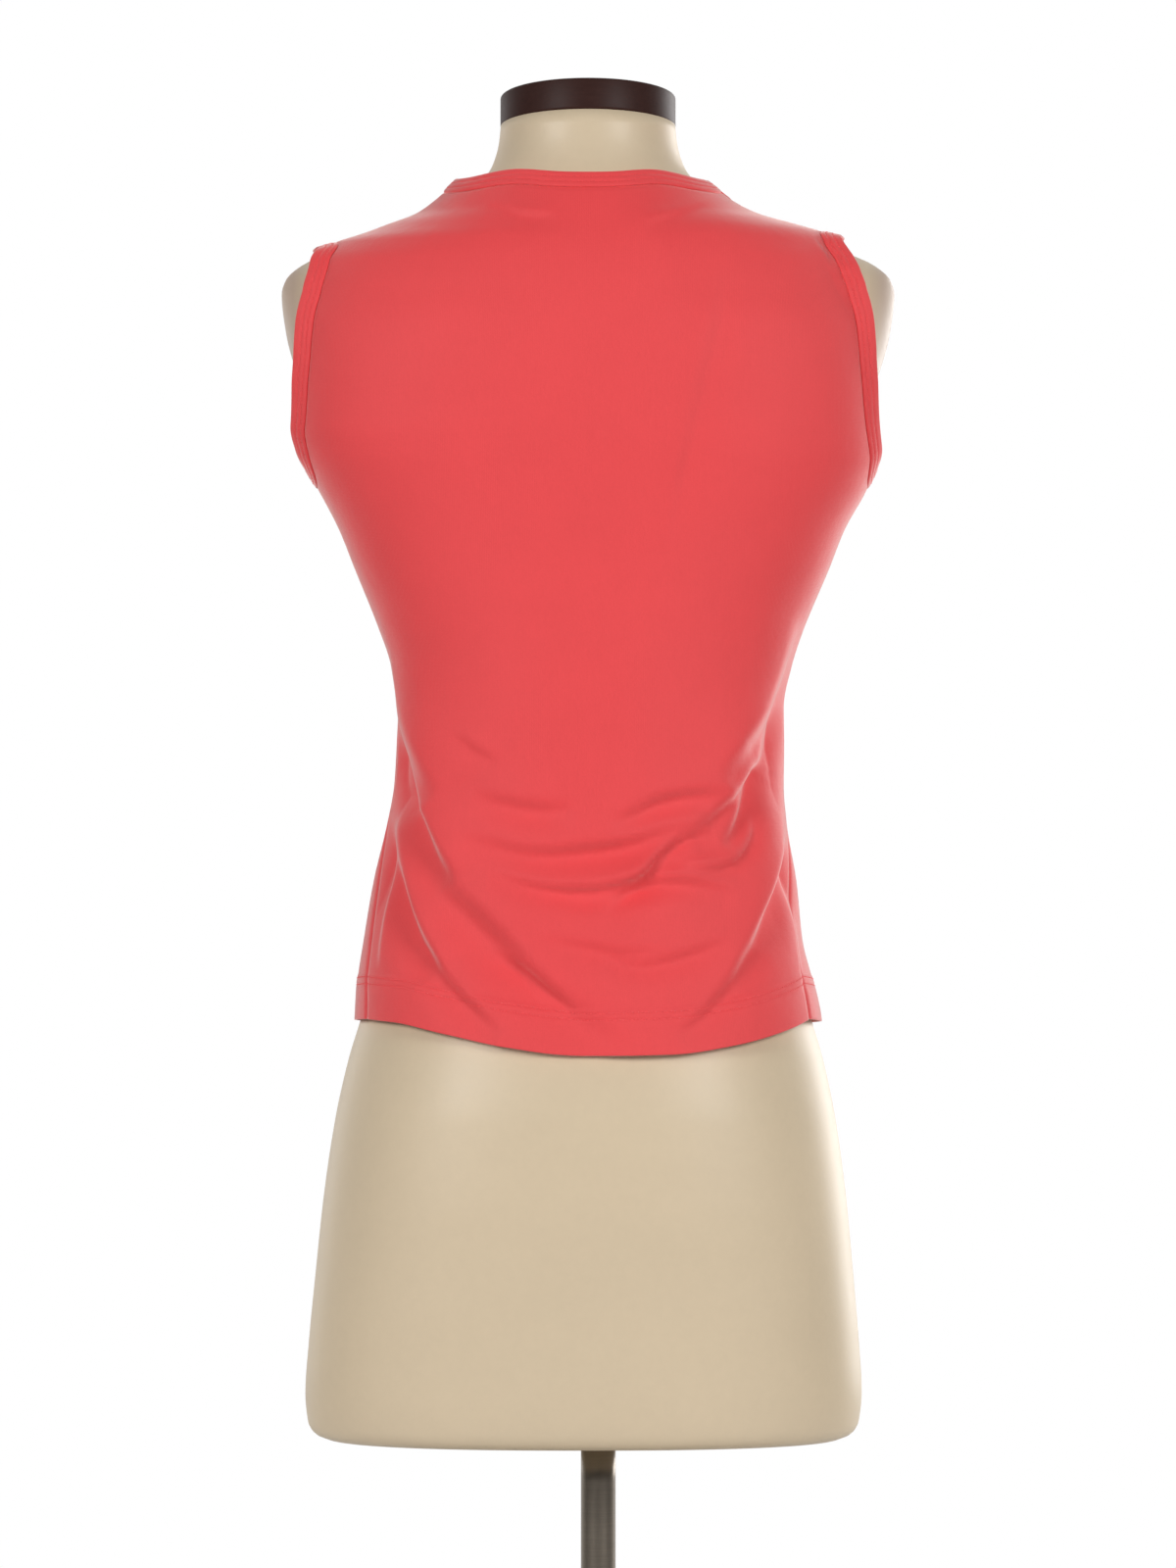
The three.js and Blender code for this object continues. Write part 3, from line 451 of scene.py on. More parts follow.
def neckline(half, u):
    """Angle and height of a half's neckline. Behind it is level with a soft rise at each side; in front x and
    h follow a superellipse."""
    turn = u * np.pi / 2
    if half == "back":
        bump = BACK_NECK_BUMP["rise"] * bell(np.abs(u) - BACK_NECK_BUMP["at"], BACK_NECK_BUMP["reach"])
        return turn, BACK_NECK + (NECK_POINT - BACK_NECK) * np.abs(u) ** 6 + bump
    h = NECK_POINT - (NECK_POINT - FRONT_NECK) * np.maximum(0, np.cos(turn)) ** FRONT_NECK_SQUARENESS
    width = np.where(u > 0, CLOTH["left"](h), CLOTH["right"](h))
    reach = np.minimum(width, FRONT_NECK_HALF_WIDTH + FRONT_NECK_FLARE * np.abs(u))
    share = np.minimum(1, np.abs(np.sin(turn)) * reach / width)
    angle = np.sign(u) * np.arcsin(share ** (1 / np.minimum(1, CLOTH["corner"](h))))
    return np.where(np.abs(u) > AT_SEAM, turn, angle), h


def armhole_angle(half, h, share):
    """The angle of a line of a half beside an armhole that cuts in by a share of its full depth there."""
    cut = ARMHOLE_DEPTH[half] * share / CLOTH[half](h)
    return np.arccos(np.clip(cut, 0, 1) ** (1 / CLOTH["corner"](h)))


def upper_edge(half, u, t):
    """Angle and climb of a half's lines above the underarm, which follow the armhole as t goes from 0 to 1
    and the shoulder seam from 1 to 2. The outermost cuts in by a power of a sine. Those inside it stay in and
    climb more evenly, so that few lines cross at the shoulder tip."""
    share = (1 + u) / 2
    tip = SHOULDER_TIP[1] + (SHOULDER_TIP[0] - SHOULDER_TIP[1]) * smooth(share)
    around = np.clip(t, 0, 1)
    on_shoulder = t >= 1
    h = UNDERARM + (tip - UNDERARM) * (1 - np.cos(np.pi * around)) / 2
    h = np.where(on_shoulder, tip + (NECK_POINT - tip) * (t - 1), h)
    squareness = ARMHOLE_SQUARENESS + INNER_EASE[half] * (1 - u ** 4)
    sharp = armhole_angle(half, h, np.maximum(0, np.sin(np.pi * around)) ** squareness)
    sharp = np.where(on_shoulder, np.pi / 2, sharp)
    early = np.sin(np.pi * np.minimum(t, MIDWAY)) ** 2
    late = np.clip((t - MIDWAY) / (2 - MIDWAY), 0, 1)
    staying = np.where(t < MIDWAY, early, 1 - smooth(late))
    soft = armhole_angle(half, h, staying)
    whole = NECK_POINT - UNDERARM
    tip_climb = (tip - UNDERARM) / whole
    even = np.where(on_shoulder, tip_climb + (1 - tip_climb) * (t - 1), tip_climb * around)
    climb = (h - UNDERARM) / whole
    climb += (even - climb) * INNER_EVENNESS * (1 - u ** 4)
    return soft + (sharp - soft) * u ** 2, climb


def pattern_place(half, u, row):
    """Angle from the half's own middle and height of a place in its pattern. u runs from the wearer's right
    (-1) to the left (1), and row from the hem to the neckline."""
    t = np.clip(row / BODY_ROWS, 0, 1) ** ROW_CROWDING
    low = HEM[half](u) * (1 - t) + UNDERARM * t
    seam = seam_angle(low) if half == "back" else np.pi - seam_angle(low)
    step = np.maximum(0, row - BODY_ROWS)
    along = np.where(step <= ARMHOLE_ROWS, step / ARMHOLE_ROWS, 1 + (step - ARMHOLE_ROWS) / SHOULDER_ROWS)
    edge_angle, climb = upper_edge(half, u, along)
    neck_angle, neck_height = neckline(half, u)
    neck_middle = neckline(half, np.zeros(1))[1][0]
    soft_neck = neck_middle + (NECK_POINT - neck_middle) * smooth(np.abs(u))
    follow = np.maximum(0, along - 1) ** 2
    top = soft_neck + (neck_height - soft_neck) * follow
    turn = u * (1 - follow) + neck_angle / (np.pi / 2) * follow
    below = row <= BODY_ROWS
    h = np.where(below, low, UNDERARM + (top - UNDERARM) * climb)
    h -= UNDERARM_DIP * (1 - u ** 4) * bell(row - BODY_ROWS, UNDERARM_DIP_REACH)
    return np.where(below, u * seam, turn * edge_angle), h


def panel_frame(half, u, row):
    """Place, normal and height of points of a half's pattern. The outermost stand back from the seam by half
    its gap."""
    u, row = np.broadcast_arrays(np.asarray(u, float), np.asarray(row, float))
    turn, h = pattern_place(half, u, row)
    facing = 1 if half == "back" else -1
    middle = 0 if half == "back" else np.pi
    point, normal, across = cloth_frame(middle + facing * turn, h)
    pull = np.where(np.abs(u) > AT_SEAM, -np.sign(u) * facing * SEAM_GAP / 2, 0)
    return point + across * pull[..., None], normal, h


# Meshes

def add_piece(name, points, faces, nodes, slot, material, uv=None):
    """A mesh object in the row frame from points in millimetres and a list of faces, riding on the one body
    and standing for its CAD nodes, smooth, with its faces outwards and, where given, a UV pair for each
    vertex."""
    mesh = bpy.data.meshes.new(name)
    vertices = np.asarray(points, float).reshape(-1, 3) * MM
    mesh.from_pydata(vertices.tolist(), [], faces)
    mesh.polygons.foreach_set("use_smooth", np.ones(len(mesh.polygons), bool))
    if uv is not None:
        layer = mesh.uv_layers.new(name="UVMap")
        corners = np.empty(len(mesh.loops), np.int32)
        mesh.loops.foreach_get("vertex_index", corners)
        layer.data.foreach_set("uv", np.asarray(uv, np.float32).reshape(-1, 2)[corners].ravel())
    mesh.update()
    mesh.calc_loop_triangles()
    triangles = np.empty(len(mesh.loop_triangles) * 3, np.int32)
    mesh.loop_triangles.foreach_get("vertices", triangles)
    a, b, c = vertices[triangles.reshape(-1, 3)].transpose(1, 0, 2)
    if (a * np.cross(b, c)).sum() < 0:
        mesh.flip_normals()
    piece = bpy.data.objects.new(name, mesh)
    bpy.context.scene.collection.objects.link(piece)
    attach(piece, "root")
    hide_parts(*nodes)
    mesh.materials.append(material)
    return piece


def to_row(points):
    """Form coordinates to the row frame, in millimetres: along to the wearer's left, and up by the stand."""
    return points + np.array((FORM_OFF_POLE, 0, STAND_HEIGHT))


def grid_faces(rows, columns, start=0, closed_rows=False, closed_columns=False, flip=False):
    """The four-sided faces of a grid of vertices stored row by row, joined end to end where it is closed."""
    r, c = np.meshgrid(np.arange(rows if closed_rows else rows - 1),
                       np.arange(columns if closed_columns else columns - 1), indexing="ij")
    above, beside = (r + 1) % rows, (c + 1) % columns
    faces = np.stack((r * columns + c, r * columns + beside, above * columns + beside, above * columns + c), -1)
    faces = faces.reshape(-1, 4) + start
    return (faces[:, ::-1] if flip else faces).tolist()


def wall_faces(rows, columns):
    """The faces of a wall whose outer grid comes first and its inner grid second, with a rim of four
    strips."""
    grid = np.arange(rows * columns).reshape(rows, columns)
    rim = np.concatenate((grid[0, :-1], grid[:-1, -1], grid[-1, :0:-1], grid[:0:-1, 0]))
    after = np.roll(rim, -1)
    offset = rows * columns
    edge = np.stack((after, rim, rim + offset, after + offset), -1)
    return grid_faces(rows, columns) + grid_faces(rows, columns, offset, flip=True) + edge.tolist()


def turned(profile, segments):
    """A body turned round the vertical from radius and height pairs, bottom to top, with a point on the axis
    at each end."""
    radius, height = np.array(profile, float).T
    angle = np.linspace(0, 2 * np.pi, segments, endpoint=False)
    rings = np.stack((radius[:, None] * np.cos(angle), radius[:, None] * np.sin(angle),
                      np.broadcast_to(height[:, None], (len(radius), segments))), -1).reshape(-1, 3)
    ends = np.array(((0, 0, height[0]), (0, 0, height[-1])))
    return np.concatenate((rings, ends)), lofted_faces(len(radius), segments)


def lofted_faces(rings, segments):
    """The faces of rings of points, with two last points that close the first and the last ring."""
    ring = np.arange(segments)
    after = (ring + 1) % segments
    last = (rings - 1) * segments
    lowest = np.full(segments, rings * segments)
    below = np.stack((lowest, after, ring), -1)
    above = np.stack((lowest + 1, last + ring, last + after), -1)
    return grid_faces(rings, segments, closed_columns=True) + below.tolist() + above.tolist()


def rounded(radius, low, high, bevel, steps=5):
    """Radius and height pairs of a disc's side with both edges rounded to a quarter circle."""
    turn = np.linspace(0, np.pi / 2, steps)
    under = np.stack((radius - bevel + bevel * np.sin(turn), low + bevel - bevel * np.cos(turn)), -1)
    over = np.stack((radius - bevel + bevel * np.cos(turn), high - bevel + bevel * np.sin(turn)), -1)
    return np.concatenate((under, over))


# Panels

def row_above(height, hem):
    """The row at a height above the hem. Up to the underarm, the height goes as a power of the row."""
    return BODY_ROWS * (height / (UNDERARM - hem)) ** (1 / ROW_CROWDING)


def panel_grid(half):
    """The places across a panel and its rows, crowded at the seams, the hem, the armholes' ends and the
    neck."""
    low = row_above(np.concatenate([np.arange(*span) for span in ROW_SPANS]), SIDE_HEM)
    spread = np.linspace(0, 1, ROWS_ROUND_ARMHOLE)
    around = BODY_ROWS + ARMHOLE_ROWS * (0.5 * spread + 0.25 * (1 - np.cos(np.pi * spread)))
    left = np.linspace(1, 0, ROWS_ON_SHOULDER + 1)[1:]
    shoulder = BODY_ROWS + ARMHOLE_ROWS + SHOULDER_ROWS * (1 - left ** SHOULDER_CROWDING)
    edge = np.array(EDGE_COLUMNS)
    even = np.linspace(-LAST_EVEN_COLUMN, LAST_EVEN_COLUMN, COLUMNS[half])
    return np.concatenate((-edge[::-1], even, edge))[None, :], np.concatenate((low, around, shoulder))[:, None]


def panel_wall(half, look):
    """The outer and the inner points of a panel, and its flat places. The outer face is half a wall out,
    further at the hem by a logistic step, less under each row of stitches and beside each edge by a bell."""
    u, row = panel_grid(half)
    point, normal, h = panel_frame(half, u, row)
    high = h - HEM[half](u)
    out = look.hem_extra / (1 + np.exp(np.clip((high - look.hem_depth) / HEM_STEP, -50, 50)))
    depth, reach = HEM_GROOVE
    for place in HEM_ROWS:
        out -= depth * bell(high - place, reach)
    across = np.linalg.norm(np.diff(point, axis=1), axis=-1)
    arc = np.pad(np.cumsum(across, axis=1), ((0, 0), (1, 0)))
    up = np.linalg.norm(np.diff(point, axis=0), axis=-1)
    from_neck = np.pad(np.cumsum(up[::-1], axis=0)[::-1], ((0, 1), (0, 0)))
    from_edge = np.minimum(np.minimum(arc, arc[:, -1:] - arc), from_neck)
    out -= EDGE_DIP * bell(from_edge, EDGE_DIP_REACH)
    outer = point + normal * (look.wall / 2 + out)[..., None]
    flat = np.stack((arc - arc[:, [arc.shape[1] // 2]], h), -1) * MM
    return outer, point - normal * look.wall / 2, flat


# Bindings and stitches

def loop_frames(stretches, places):
    """Point and normal at each place of a loop. A place's whole part names the stretch, a half of the top
    with its u and row as functions, and its fraction says how far along that stretch."""
    points, normals = np.empty((2, len(places), 3))
    for i, (half, u_at, row_at) in enumerate(stretches):
        here = (places >= i) & (places < i + 1)
        q = places[here] - i
        points[here], normals[here], _ = panel_frame(half, u_at(q), row_at(q))
    return points, normals


def even_loop(stretches, spacing):
    """Points and normals of a loop at equal steps along it. The first look is crowded at the stretches' ends,
    where an armhole turns fast."""
    q = (1 - np.cos(np.pi * np.linspace(0, 1, LOOP_LOOKS, endpoint=False))) / 2
    places = np.concatenate([i + q for i in range(len(stretches))])
    rough, _ = loop_frames(stretches, places)
    steps = np.linalg.norm(np.roll(rough, -1, axis=0) - rough, axis=1)
    length = np.concatenate(([0], np.cumsum(steps)))
    count = int(round(length[-1] / spacing))
    wanted = np.linspace(0, length[-1], count, endpoint=False)
    places = np.interp(wanted, length, np.append(places, len(stretches)))
    return loop_frames(stretches, np.minimum(places, len(stretches) - 1e-6))


def eased(vectors, reach):
    """The mean of each row of a closed list with the rows up to a reach away on both sides."""
    return unit(sum(np.roll(vectors, k, axis=0) for k in range(-reach, reach + 1)))


def armhole_stretches(side):
    """An armhole as two stretches: up the back's edge and down the front's."""
    return (
        ("back", lambda q: q * 0 + side, lambda q: BODY_ROWS + ARMHOLE_ROWS * q),
        ("front", lambda q: q * 0 + side, lambda q: BODY_ROWS + ARMHOLE_ROWS * (1 - q)),
    )


def level_stretches(row_at):
    """A line round the top as two stretches: across the back to the wearer's left and back across the
    front."""
    return (
        ("back", lambda q: 2 * q - 1, lambda q: row_at("back", 2 * q - 1)),
        ("front", lambda q: 1 - 2 * q, lambda q: row_at("front", 1 - 2 * q)),
    )


class Binding:
    """A folded strip round a loop of the panels' edges. It starts at the seam and, past it, leans outwards by
    its own vector at each place."""

    def __init__(self, stretches, width, lean, into_cloth):
        self.width = width
        self.point, self.normal = even_loop(stretches, BINDING_STEP)
        after, before = (np.roll(self.point, k, axis=0) for k in (-BINDING_EASE, BINDING_EASE))
        along = unit(after - before)
        away = unit(np.cross(along, self.normal))
        away = np.where(into_cloth(self.point, away)[:, None], -away, away)
        self.start = self.point + away * SEAM_GAP
        leant = eased(away, BINDING_SMOOTHING) + lean(self.point)
        leant -= along * (leant * along).sum(axis=1, keepdims=True)
        self.leant = unit(leant)
        normal = unit(np.cross(along, self.leant))
        self.leant_normal = normal * np.sign((normal * self.normal).sum(axis=1, keepdims=True))

    def line(self, out, lift):
        """The points of the strip at a distance out from the seam and a height over the middle of the
        cloth."""
        middle = keep_clear(self.start + self.leant * out, CLEARANCE)
        turn = np.clip(out / BINDING_TURN, 0, 1)
        return middle + unit(self.normal * (1 - turn) + self.leant_normal * turn) * lift

    def build(self, name, row_places, material):
        """The strip's mesh: a rounded section with a shallow groove under each row of stitches."""
        outs, lifts = binding_section(self.width, row_places)
        rings = np.stack([self.line(out, lift) for out, lift in zip(outs, lifts)], axis=1)
        count, sides = rings.shape[:2]
        arc = np.linspace(0, count * BINDING_STEP, count)[:, None]
        flat = np.stack(np.broadcast_arrays(arc, outs[None, :] + lifts[None, :]), -1) * MM
        faces = grid_faces(count, sides, closed_rows=True, closed_columns=True)
        return add_piece(name + "_strip", to_row(rings), faces, [name], "jersey", material, flat)


def neck_binding():
    """The binding of the neckline, which stands up from it."""
    return Binding(level_stretches(lambda half, u: u * 0 + ROWS), NECK_WIDTH,
                   lambda point: 0 * point, lambda point, away: away[:, 2] < 0)


def armhole_binding(side):
    """The binding of the armhole on the wearer's left (1) or right (-1). It leans outwards in proportion to
    its climb from the underarm, less so in front."""
    tip = SHOULDER_TIP[0] if side > 0 else SHOULDER_TIP[1]
    middle = np.array((side * ARMHOLE_MIDDLE, 0, (UNDERARM + tip) / 2))

    def lean(point):
        climb = (point[:, 2] - UNDERARM) / (tip - UNDERARM)
        climb = climb * (0.6 + 0.4 * np.tanh((point[:, 1] - LEAN_FROM) / LEAN_REACH))
        return np.stack((side * ARMHOLE_LEAN * climb, 0 * climb, 0 * climb), -1)

    return Binding(armhole_stretches(side), ARMHOLE_WIDTH, lean,
                   lambda point, away: ((middle - point) * away).sum(axis=1) < 0)


def binding_section(width, row_places):
    """Distances out and lifts round a binding's section: flat inside, rounded at the fold, and softly full
    outside but for a groove under each row of stitches."""
    fold = width - BINDING_FOLD
    top = np.linspace(0.35, fold, 22)
    full = 1.35 + 0.35 * np.sin(np.pi * np.clip(top / width, 0, 1)) ** 0.6
    depth, reach = BINDING_GROOVE
    for place in row_places:
        full = full - depth * bell(top - place, reach)
    turn = np.linspace(0, np.pi, 7)[1:-1]
    lap = BINDING_LAP * np.array((-1, -1, -0.85, -0.4))
    outs = np.concatenate((lap, top, fold + BINDING_FOLD * np.sin(turn), [width - 0.8, width * 0.5]))
    lifts = np.concatenate(((-0.3, 0.6, 1, 1.25), full, 0.4 + 0.95 * np.cos(turn), [-0.6, -0.6]))
    return outs, lifts


def stitch_row(points, normals, pitch):
    """Centres, directions and normals of stitches at equal steps along a closed line."""
    following = np.roll(points, -1, axis=0)
    steps = np.linalg.norm(following - points, axis=1)
    length = np.concatenate(([0], np.cumsum(steps)))
    count = int(round(length[-1] / pitch))
    wanted = (np.arange(count) + 0.5) * length[-1] / count
    closed = [np.concatenate((values, values[:1])) for values in (points, normals)]

    def at(values, where):
        where = where % length[-1]
        return np.stack([np.interp(where, length, values[:, k]) for k in range(3)], -1)

    along = unit(at(closed[0], wanted + pitch / 2) - at(closed[0], wanted - pitch / 2))
    return at(closed[0], wanted), along, unit(at(closed[1], wanted))


def stitch_bodies(centres, along, normals, length, radius):
    """Points and faces of small threads, each a run of rings that thins and dips at both ends."""
    side = np.cross(along, normals)
    s = np.array((-1, -0.75, 0, 0.75, 1))
    thick = radius * np.sqrt(1.04 - s ** 4)
    dip = radius * (0.9 - 1.5 * s ** 4)
    angle = np.linspace(0, 2 * np.pi, STITCH_SIDES, endpoint=False)
    ring_side = thick[:, None] * np.cos(angle)
    ring_up = thick[:, None] * np.sin(angle) * 0.8 + dip[:, None]
    points = (centres[:, None, None]
              + along[:, None, None] * (s * length / 2)[None, :, None, None]
              + side[:, None, None] * ring_side[None, ..., None]
              + normals[:, None, None] * ring_up[None, ..., None])
    one = np.array(grid_faces(len(s), STITCH_SIDES, closed_columns=True))
    each = len(s) * STITCH_SIDES
    starts = np.arange(len(centres))[:, None, None] * each
    ends = np.stack((np.arange(STITCH_SIDES)[::-1], np.arange(each - STITCH_SIDES, each)))
    faces = (one + starts).reshape(-1, 4).tolist() + (ends + starts).reshape(-1, STITCH_SIDES).tolist()
    return points.reshape(-1, 3), faces


def add_stitches(name, rows, look):
    """One piece with all the stitches of some rows, each a closed line of points with normals."""
    points, faces = [], []
    total = 0
    for line, normals in rows:
        placed = stitch_row(line, normals, look.stitch)
        more, theirs = stitch_bodies(*placed, look.stitch * STITCH_SHARE, STITCH_RADIUS)
        faces += [[index + total for index in face] for face in theirs]
        points.append(more)
        total += len(more)
    return add_piece(name, to_row(np.concatenate(points)), faces, [], "jersey", thread_material(look))


# Shader maths

class Value:
    """A number or colour in a shader. Arithmetic on it adds Math nodes to its tree."""

    def __init__(self, shader, socket):
        self.shader = shader
        self.socket = socket

    def _math(self, operation, *values):
        return self.shader.node("ShaderNodeMath", {"operation": operation}, dict(enumerate(values)))

    def __add__(self, other):
        return self._math("ADD", self, other)

    def __sub__(self, other):
        return self._math("SUBTRACT", self, other)

    def __rsub__(self, other):
        return self._math("SUBTRACT", other, self)

    def __mul__(self, other):
        return self._math("MULTIPLY", self, other)

    def __pow__(self, other):
        return self._math("POWER", self, other)

    def __rpow__(self, other):
        return self._math("POWER", other, self)

    __radd__ = __add__
    __rmul__ = __mul__

    def sine(self):
        return self._math("SINE", self)

    def clamp(self):
        return self.shader.node("ShaderNodeClamp", {}, {"Value": self})


class Shader:
    """A material and its node tree. One method adds every node."""

    def __init__(self, name):
        self.material = bpy.data.materials.new(name)
        self.material.use_nodes = True
        self.tree = self.material.node_tree
        self.tree.nodes.clear()

    def node(self, kind, settings, sockets, output=0):
        """Adds a node, sets its settings and then its sockets by name or place, and gives one output."""
        node = self.tree.nodes.new(kind)
        for key, value in settings.items():
            if key == "stops":
                self._ramp(node, value)
            else:
                setattr(node, key, value)
        for key, value in sockets.items():
            if isinstance(value, Value):
                self.tree.links.new(value.socket, node.inputs[key])
            else:
                node.inputs[key].default_value = value
        return Value(self, node.outputs[output])

    def _ramp(self, node, stops):
        """Gives a colour ramp its stops, each a place and a colour."""
        elements = node.color_ramp.elements
        while len(elements) < len(stops):
            elements.new(0.5)
        for element, (place, colour) in zip(elements, stops):
            element.position = place
            element.color = (*colour, 1)

    def place(self, kind="Object"):
        return self.node("ShaderNodeTexCoord", {}, {}, kind)

    def scaled(self, place, scale):
        return self.node("ShaderNodeMapping", {}, {"Vector": place, "Scale": scale})

    def noise(self, place, scale, detail=2.0, roughness=0.5):
        return self.node("ShaderNodeTexNoise", {}, {
            "Vector": place, "Scale": scale, "Detail": detail, "Roughness": roughness})

    def split(self, vector, output):
        return self.node("ShaderNodeSeparateXYZ", {}, {"Vector": vector}, output)

    def blend(self, factor, first, second):
        """A colour between two, by a factor."""
        return self.node("ShaderNodeMix", {"data_type": "RGBA"}, {0: factor, 6: first, 7: second}, 2)

    def bump(self, height, distance, strength=1.0, normal=None):
        sockets = {"Height": height, "Distance": distance, "Strength": strength}
        if normal:
            sockets["Normal"] = normal
        return self.node("ShaderNodeBump", {}, sockets)

    def finish(self, sockets):
        """Ends the tree in a Principled shader with these sockets, and gives the material."""
        surface = self.node("ShaderNodeBsdfPrincipled", {}, sockets)
        self.node_output(surface)
        return self.material

    def node_output(self, surface):
        output = self.tree.nodes.new("ShaderNodeOutputMaterial")
        self.tree.links.new(surface.socket, output.inputs["Surface"])


def tone(colour, share=1, lift=0):
    """A screen colour as the linear colour that shaders work in, times a share and lifted a little, with an
    alpha of 1."""
    c = np.array(colour, float)
    parts = np.where(c <= 0.04045, c / 12.92, ((c + 0.055) / 1.055) ** 2.4)
    return (*(parts * share + lift), 1)


def jersey_material(look):
    """Fine jersey: a fibre mottle in the colour, wales and courses as a faint bump, and a pale bloom where
    the surface turns away."""
    shader = Shader("jersey")
    place = shader.place()
    flat = shader.place("UV")
    wales = (shader.split(flat, 0) * (2 * np.pi / look.knit_pitch)).sine()
    courses = (shader.split(flat, 1) * (2 * np.pi / (look.knit_pitch * 0.8))).sine()
    fibre = shader.noise(place, 900.0, 2.0, 0.6)
    cloud = shader.noise(place, 22.0, 3.0, 0.55)
    mottle = (cloud - 0.5) * 0.45 + (fibre - 0.5) * 0.5 + 0.5
    colour = shader.blend(mottle.clamp(), tone(look.colour, 0.9), tone(look.colour, 1.06, 0.004))
    weave = wales * courses * 0.5 + wales * 0.35 + fibre * 0.9
    creep = shader.noise(place, 60.0, 4.0, 0.6)
    normal = shader.bump(weave, 0.00012, 0.5, shader.bump(creep, 0.0012, 0.35))
    return shader.finish({
        "Base Color": colour,
        "Roughness": look.roughness,
        "Normal": normal,
        "Sheen Weight": look.bloom,
        "Sheen Roughness": 0.4,
        "Sheen Tint": (1.0, 0.86, 0.82, 1),
        "Specular IOR Level": 0.5,
    })


def thread_material(look):
    """Sewing thread: the jersey's colour, a little paler, with a twist along it."""
    shader = Shader("thread")
    place = shader.place()
    twist = shader.noise(place, 2500.0, 2.0, 0.6)
    colour = shader.blend(twist, tone(look.colour, 0.9), tone(look.colour, 1.25, 0.02))
    return shader.finish({
        "Base Color": colour,
        "Roughness": 0.55,
        "Normal": shader.bump(twist, 0.0001, 0.6),
        "Sheen Weight": 0.4,
        "Sheen Roughness": 0.4,
    })


def lacquer_material(look):
    """Satin lacquer over fibreglass: faint clouds of tone, a fine orange-peel bump and a thin clear coat. The arm
    stubs far out at the sides are painted darker and pinker, as painted shade and painted red light bounced from
    the cloth.
    """
    shader = Shader("form_lacquer")
    place = shader.place()
    cloud = shader.noise(place, 7.0, 4.0, 0.6)
    speck = shader.noise(place, 160.0, 3.0, 0.7)
    mottle = (cloud * 0.7 + speck * 0.3).clamp()
    colour = shader.blend(mottle, tone(look.colour, 0.88), tone(look.colour, 1.07))
    # Painted shade with a painted red bounce from the cloth: the form's colour turns darker and pinker on the arm
    # stubs, far out at each side
    beside = shader.split(place, 0) - FORM_OFF_POLE * MM
    arm_shade = ((beside * beside) ** 0.5 * 100 - ARM_SHADE_START).clamp()
    colour = shader.blend(arm_shade, colour, tone(look.colour, (0.74, 0.68, 0.74)))
    peel = shader.bump(shader.noise(place, 420.0, 2.0, 0.5), 0.0002, 0.25)
    hollow = shader.bump(shader.noise(place, 24.0, 2.0, 0.5), 0.002, 0.15, peel)
    return shader.finish({
        "Base Color": colour,
        "Roughness": (speck - 0.5) * 0.12 + look.roughness,
        "Normal": hollow,
        "Specular IOR Level": 0.3,
        "Coat Weight": 0.05,
        "Coat Roughness": 0.3,
    })


def cap_material(look):
    """Dark stained wood under satin varnish: fine rings of tone across the disc and a soft gloss."""
    shader = Shader("cap_varnish")
    place = shader.place()
    grain = shader.noise(shader.scaled(place, (1.0, 9.0, 9.0)), 60.0, 4.0, 0.6)
    colour = shader.blend(grain, tone(look.colour, 0.75), tone(look.colour, 1.3))
    return shader.finish({
        "Base Color": colour,
        "Roughness": grain * 0.15 + look.roughness,
        "Normal": shader.bump(grain, 0.0002, 0.3),
        "Specular IOR Level": 0.12,
    })


def steel_material(name, look, stretch):
    """Brushed steel: fine scratches, stretched along the brushing, in the tone, the roughness and the
    bump."""
    shader = Shader(name)
    place = shader.place()
    brushing = shader.noise(shader.scaled(place, stretch), 700.0, 3.0, 0.7)
    smudge = shader.noise(place, 14.0, 3.0, 0.6)
    colour = shader.blend(brushing, tone(look.colour, 0.82), tone(look.colour, 1.12))
    return shader.finish({
        "Base Color": colour,
        "Metallic": 1.0,
        "Roughness": brushing * 0.16 + smudge * 0.1 + look.roughness,
        "Normal": shader.bump(brushing, 0.0001, 0.25),
    })


# Settings that a user would change

class ClothSettings(bpy.types.PropertyGroup):
    """Sizes and colour of the top."""

    colour: bpy.props.FloatVectorProperty(
        name="Colour", description="Screen colour of the jersey", subtype="COLOR_GAMMA", size=3,
        min=0, max=1, default=(0.925, 0.25, 0.265))
    wall: bpy.props.FloatProperty(
        name="Wall", description="Thickness of one layer of jersey, in millimetres", default=1.2, min=0.5, max=3)
    hem_depth: bpy.props.FloatProperty(
        name="Hem Depth", description="Height of the turned-up hem, in millimetres", default=28, min=8, max=50)
    hem_extra: bpy.props.FloatProperty(
        name="Hem Extra", description="How much thicker the hem is, in millimetres", default=0.7, min=0, max=2)
    stitch: bpy.props.FloatProperty(
        name="Stitch", description="Length of a stitch with its gap, in millimetres", default=2.0, min=1.2, max=6)
    knit_pitch: bpy.props.FloatProperty(
        name="Knit Pitch", description="Width of one wale of the knit", subtype="DISTANCE", unit="LENGTH",
        default=0.0011, min=0.0003, max=0.003)
    roughness: bpy.props.FloatProperty(
        name="Roughness", description="Roughness of the jersey", subtype="FACTOR", default=0.65, min=0, max=1)
    bloom: bpy.props.FloatProperty(
        name="Bloom", description="Strength of the pale sheen at grazing angles", subtype="FACTOR", default=0.9,
        min=0, max=1)


class FormSettings(bpy.types.PropertyGroup):
    """Finish of the dress form."""

    colour: bpy.props.FloatVectorProperty(
        name="Colour", description="Screen colour of the form", subtype="COLOR_GAMMA", size=3, min=0, max=1,
        default=(0.845, 0.77, 0.655))
    roughness: bpy.props.FloatProperty(
        name="Roughness", description="Roughness of the lacquer", subtype="FACTOR", default=0.42, min=0, max=1)


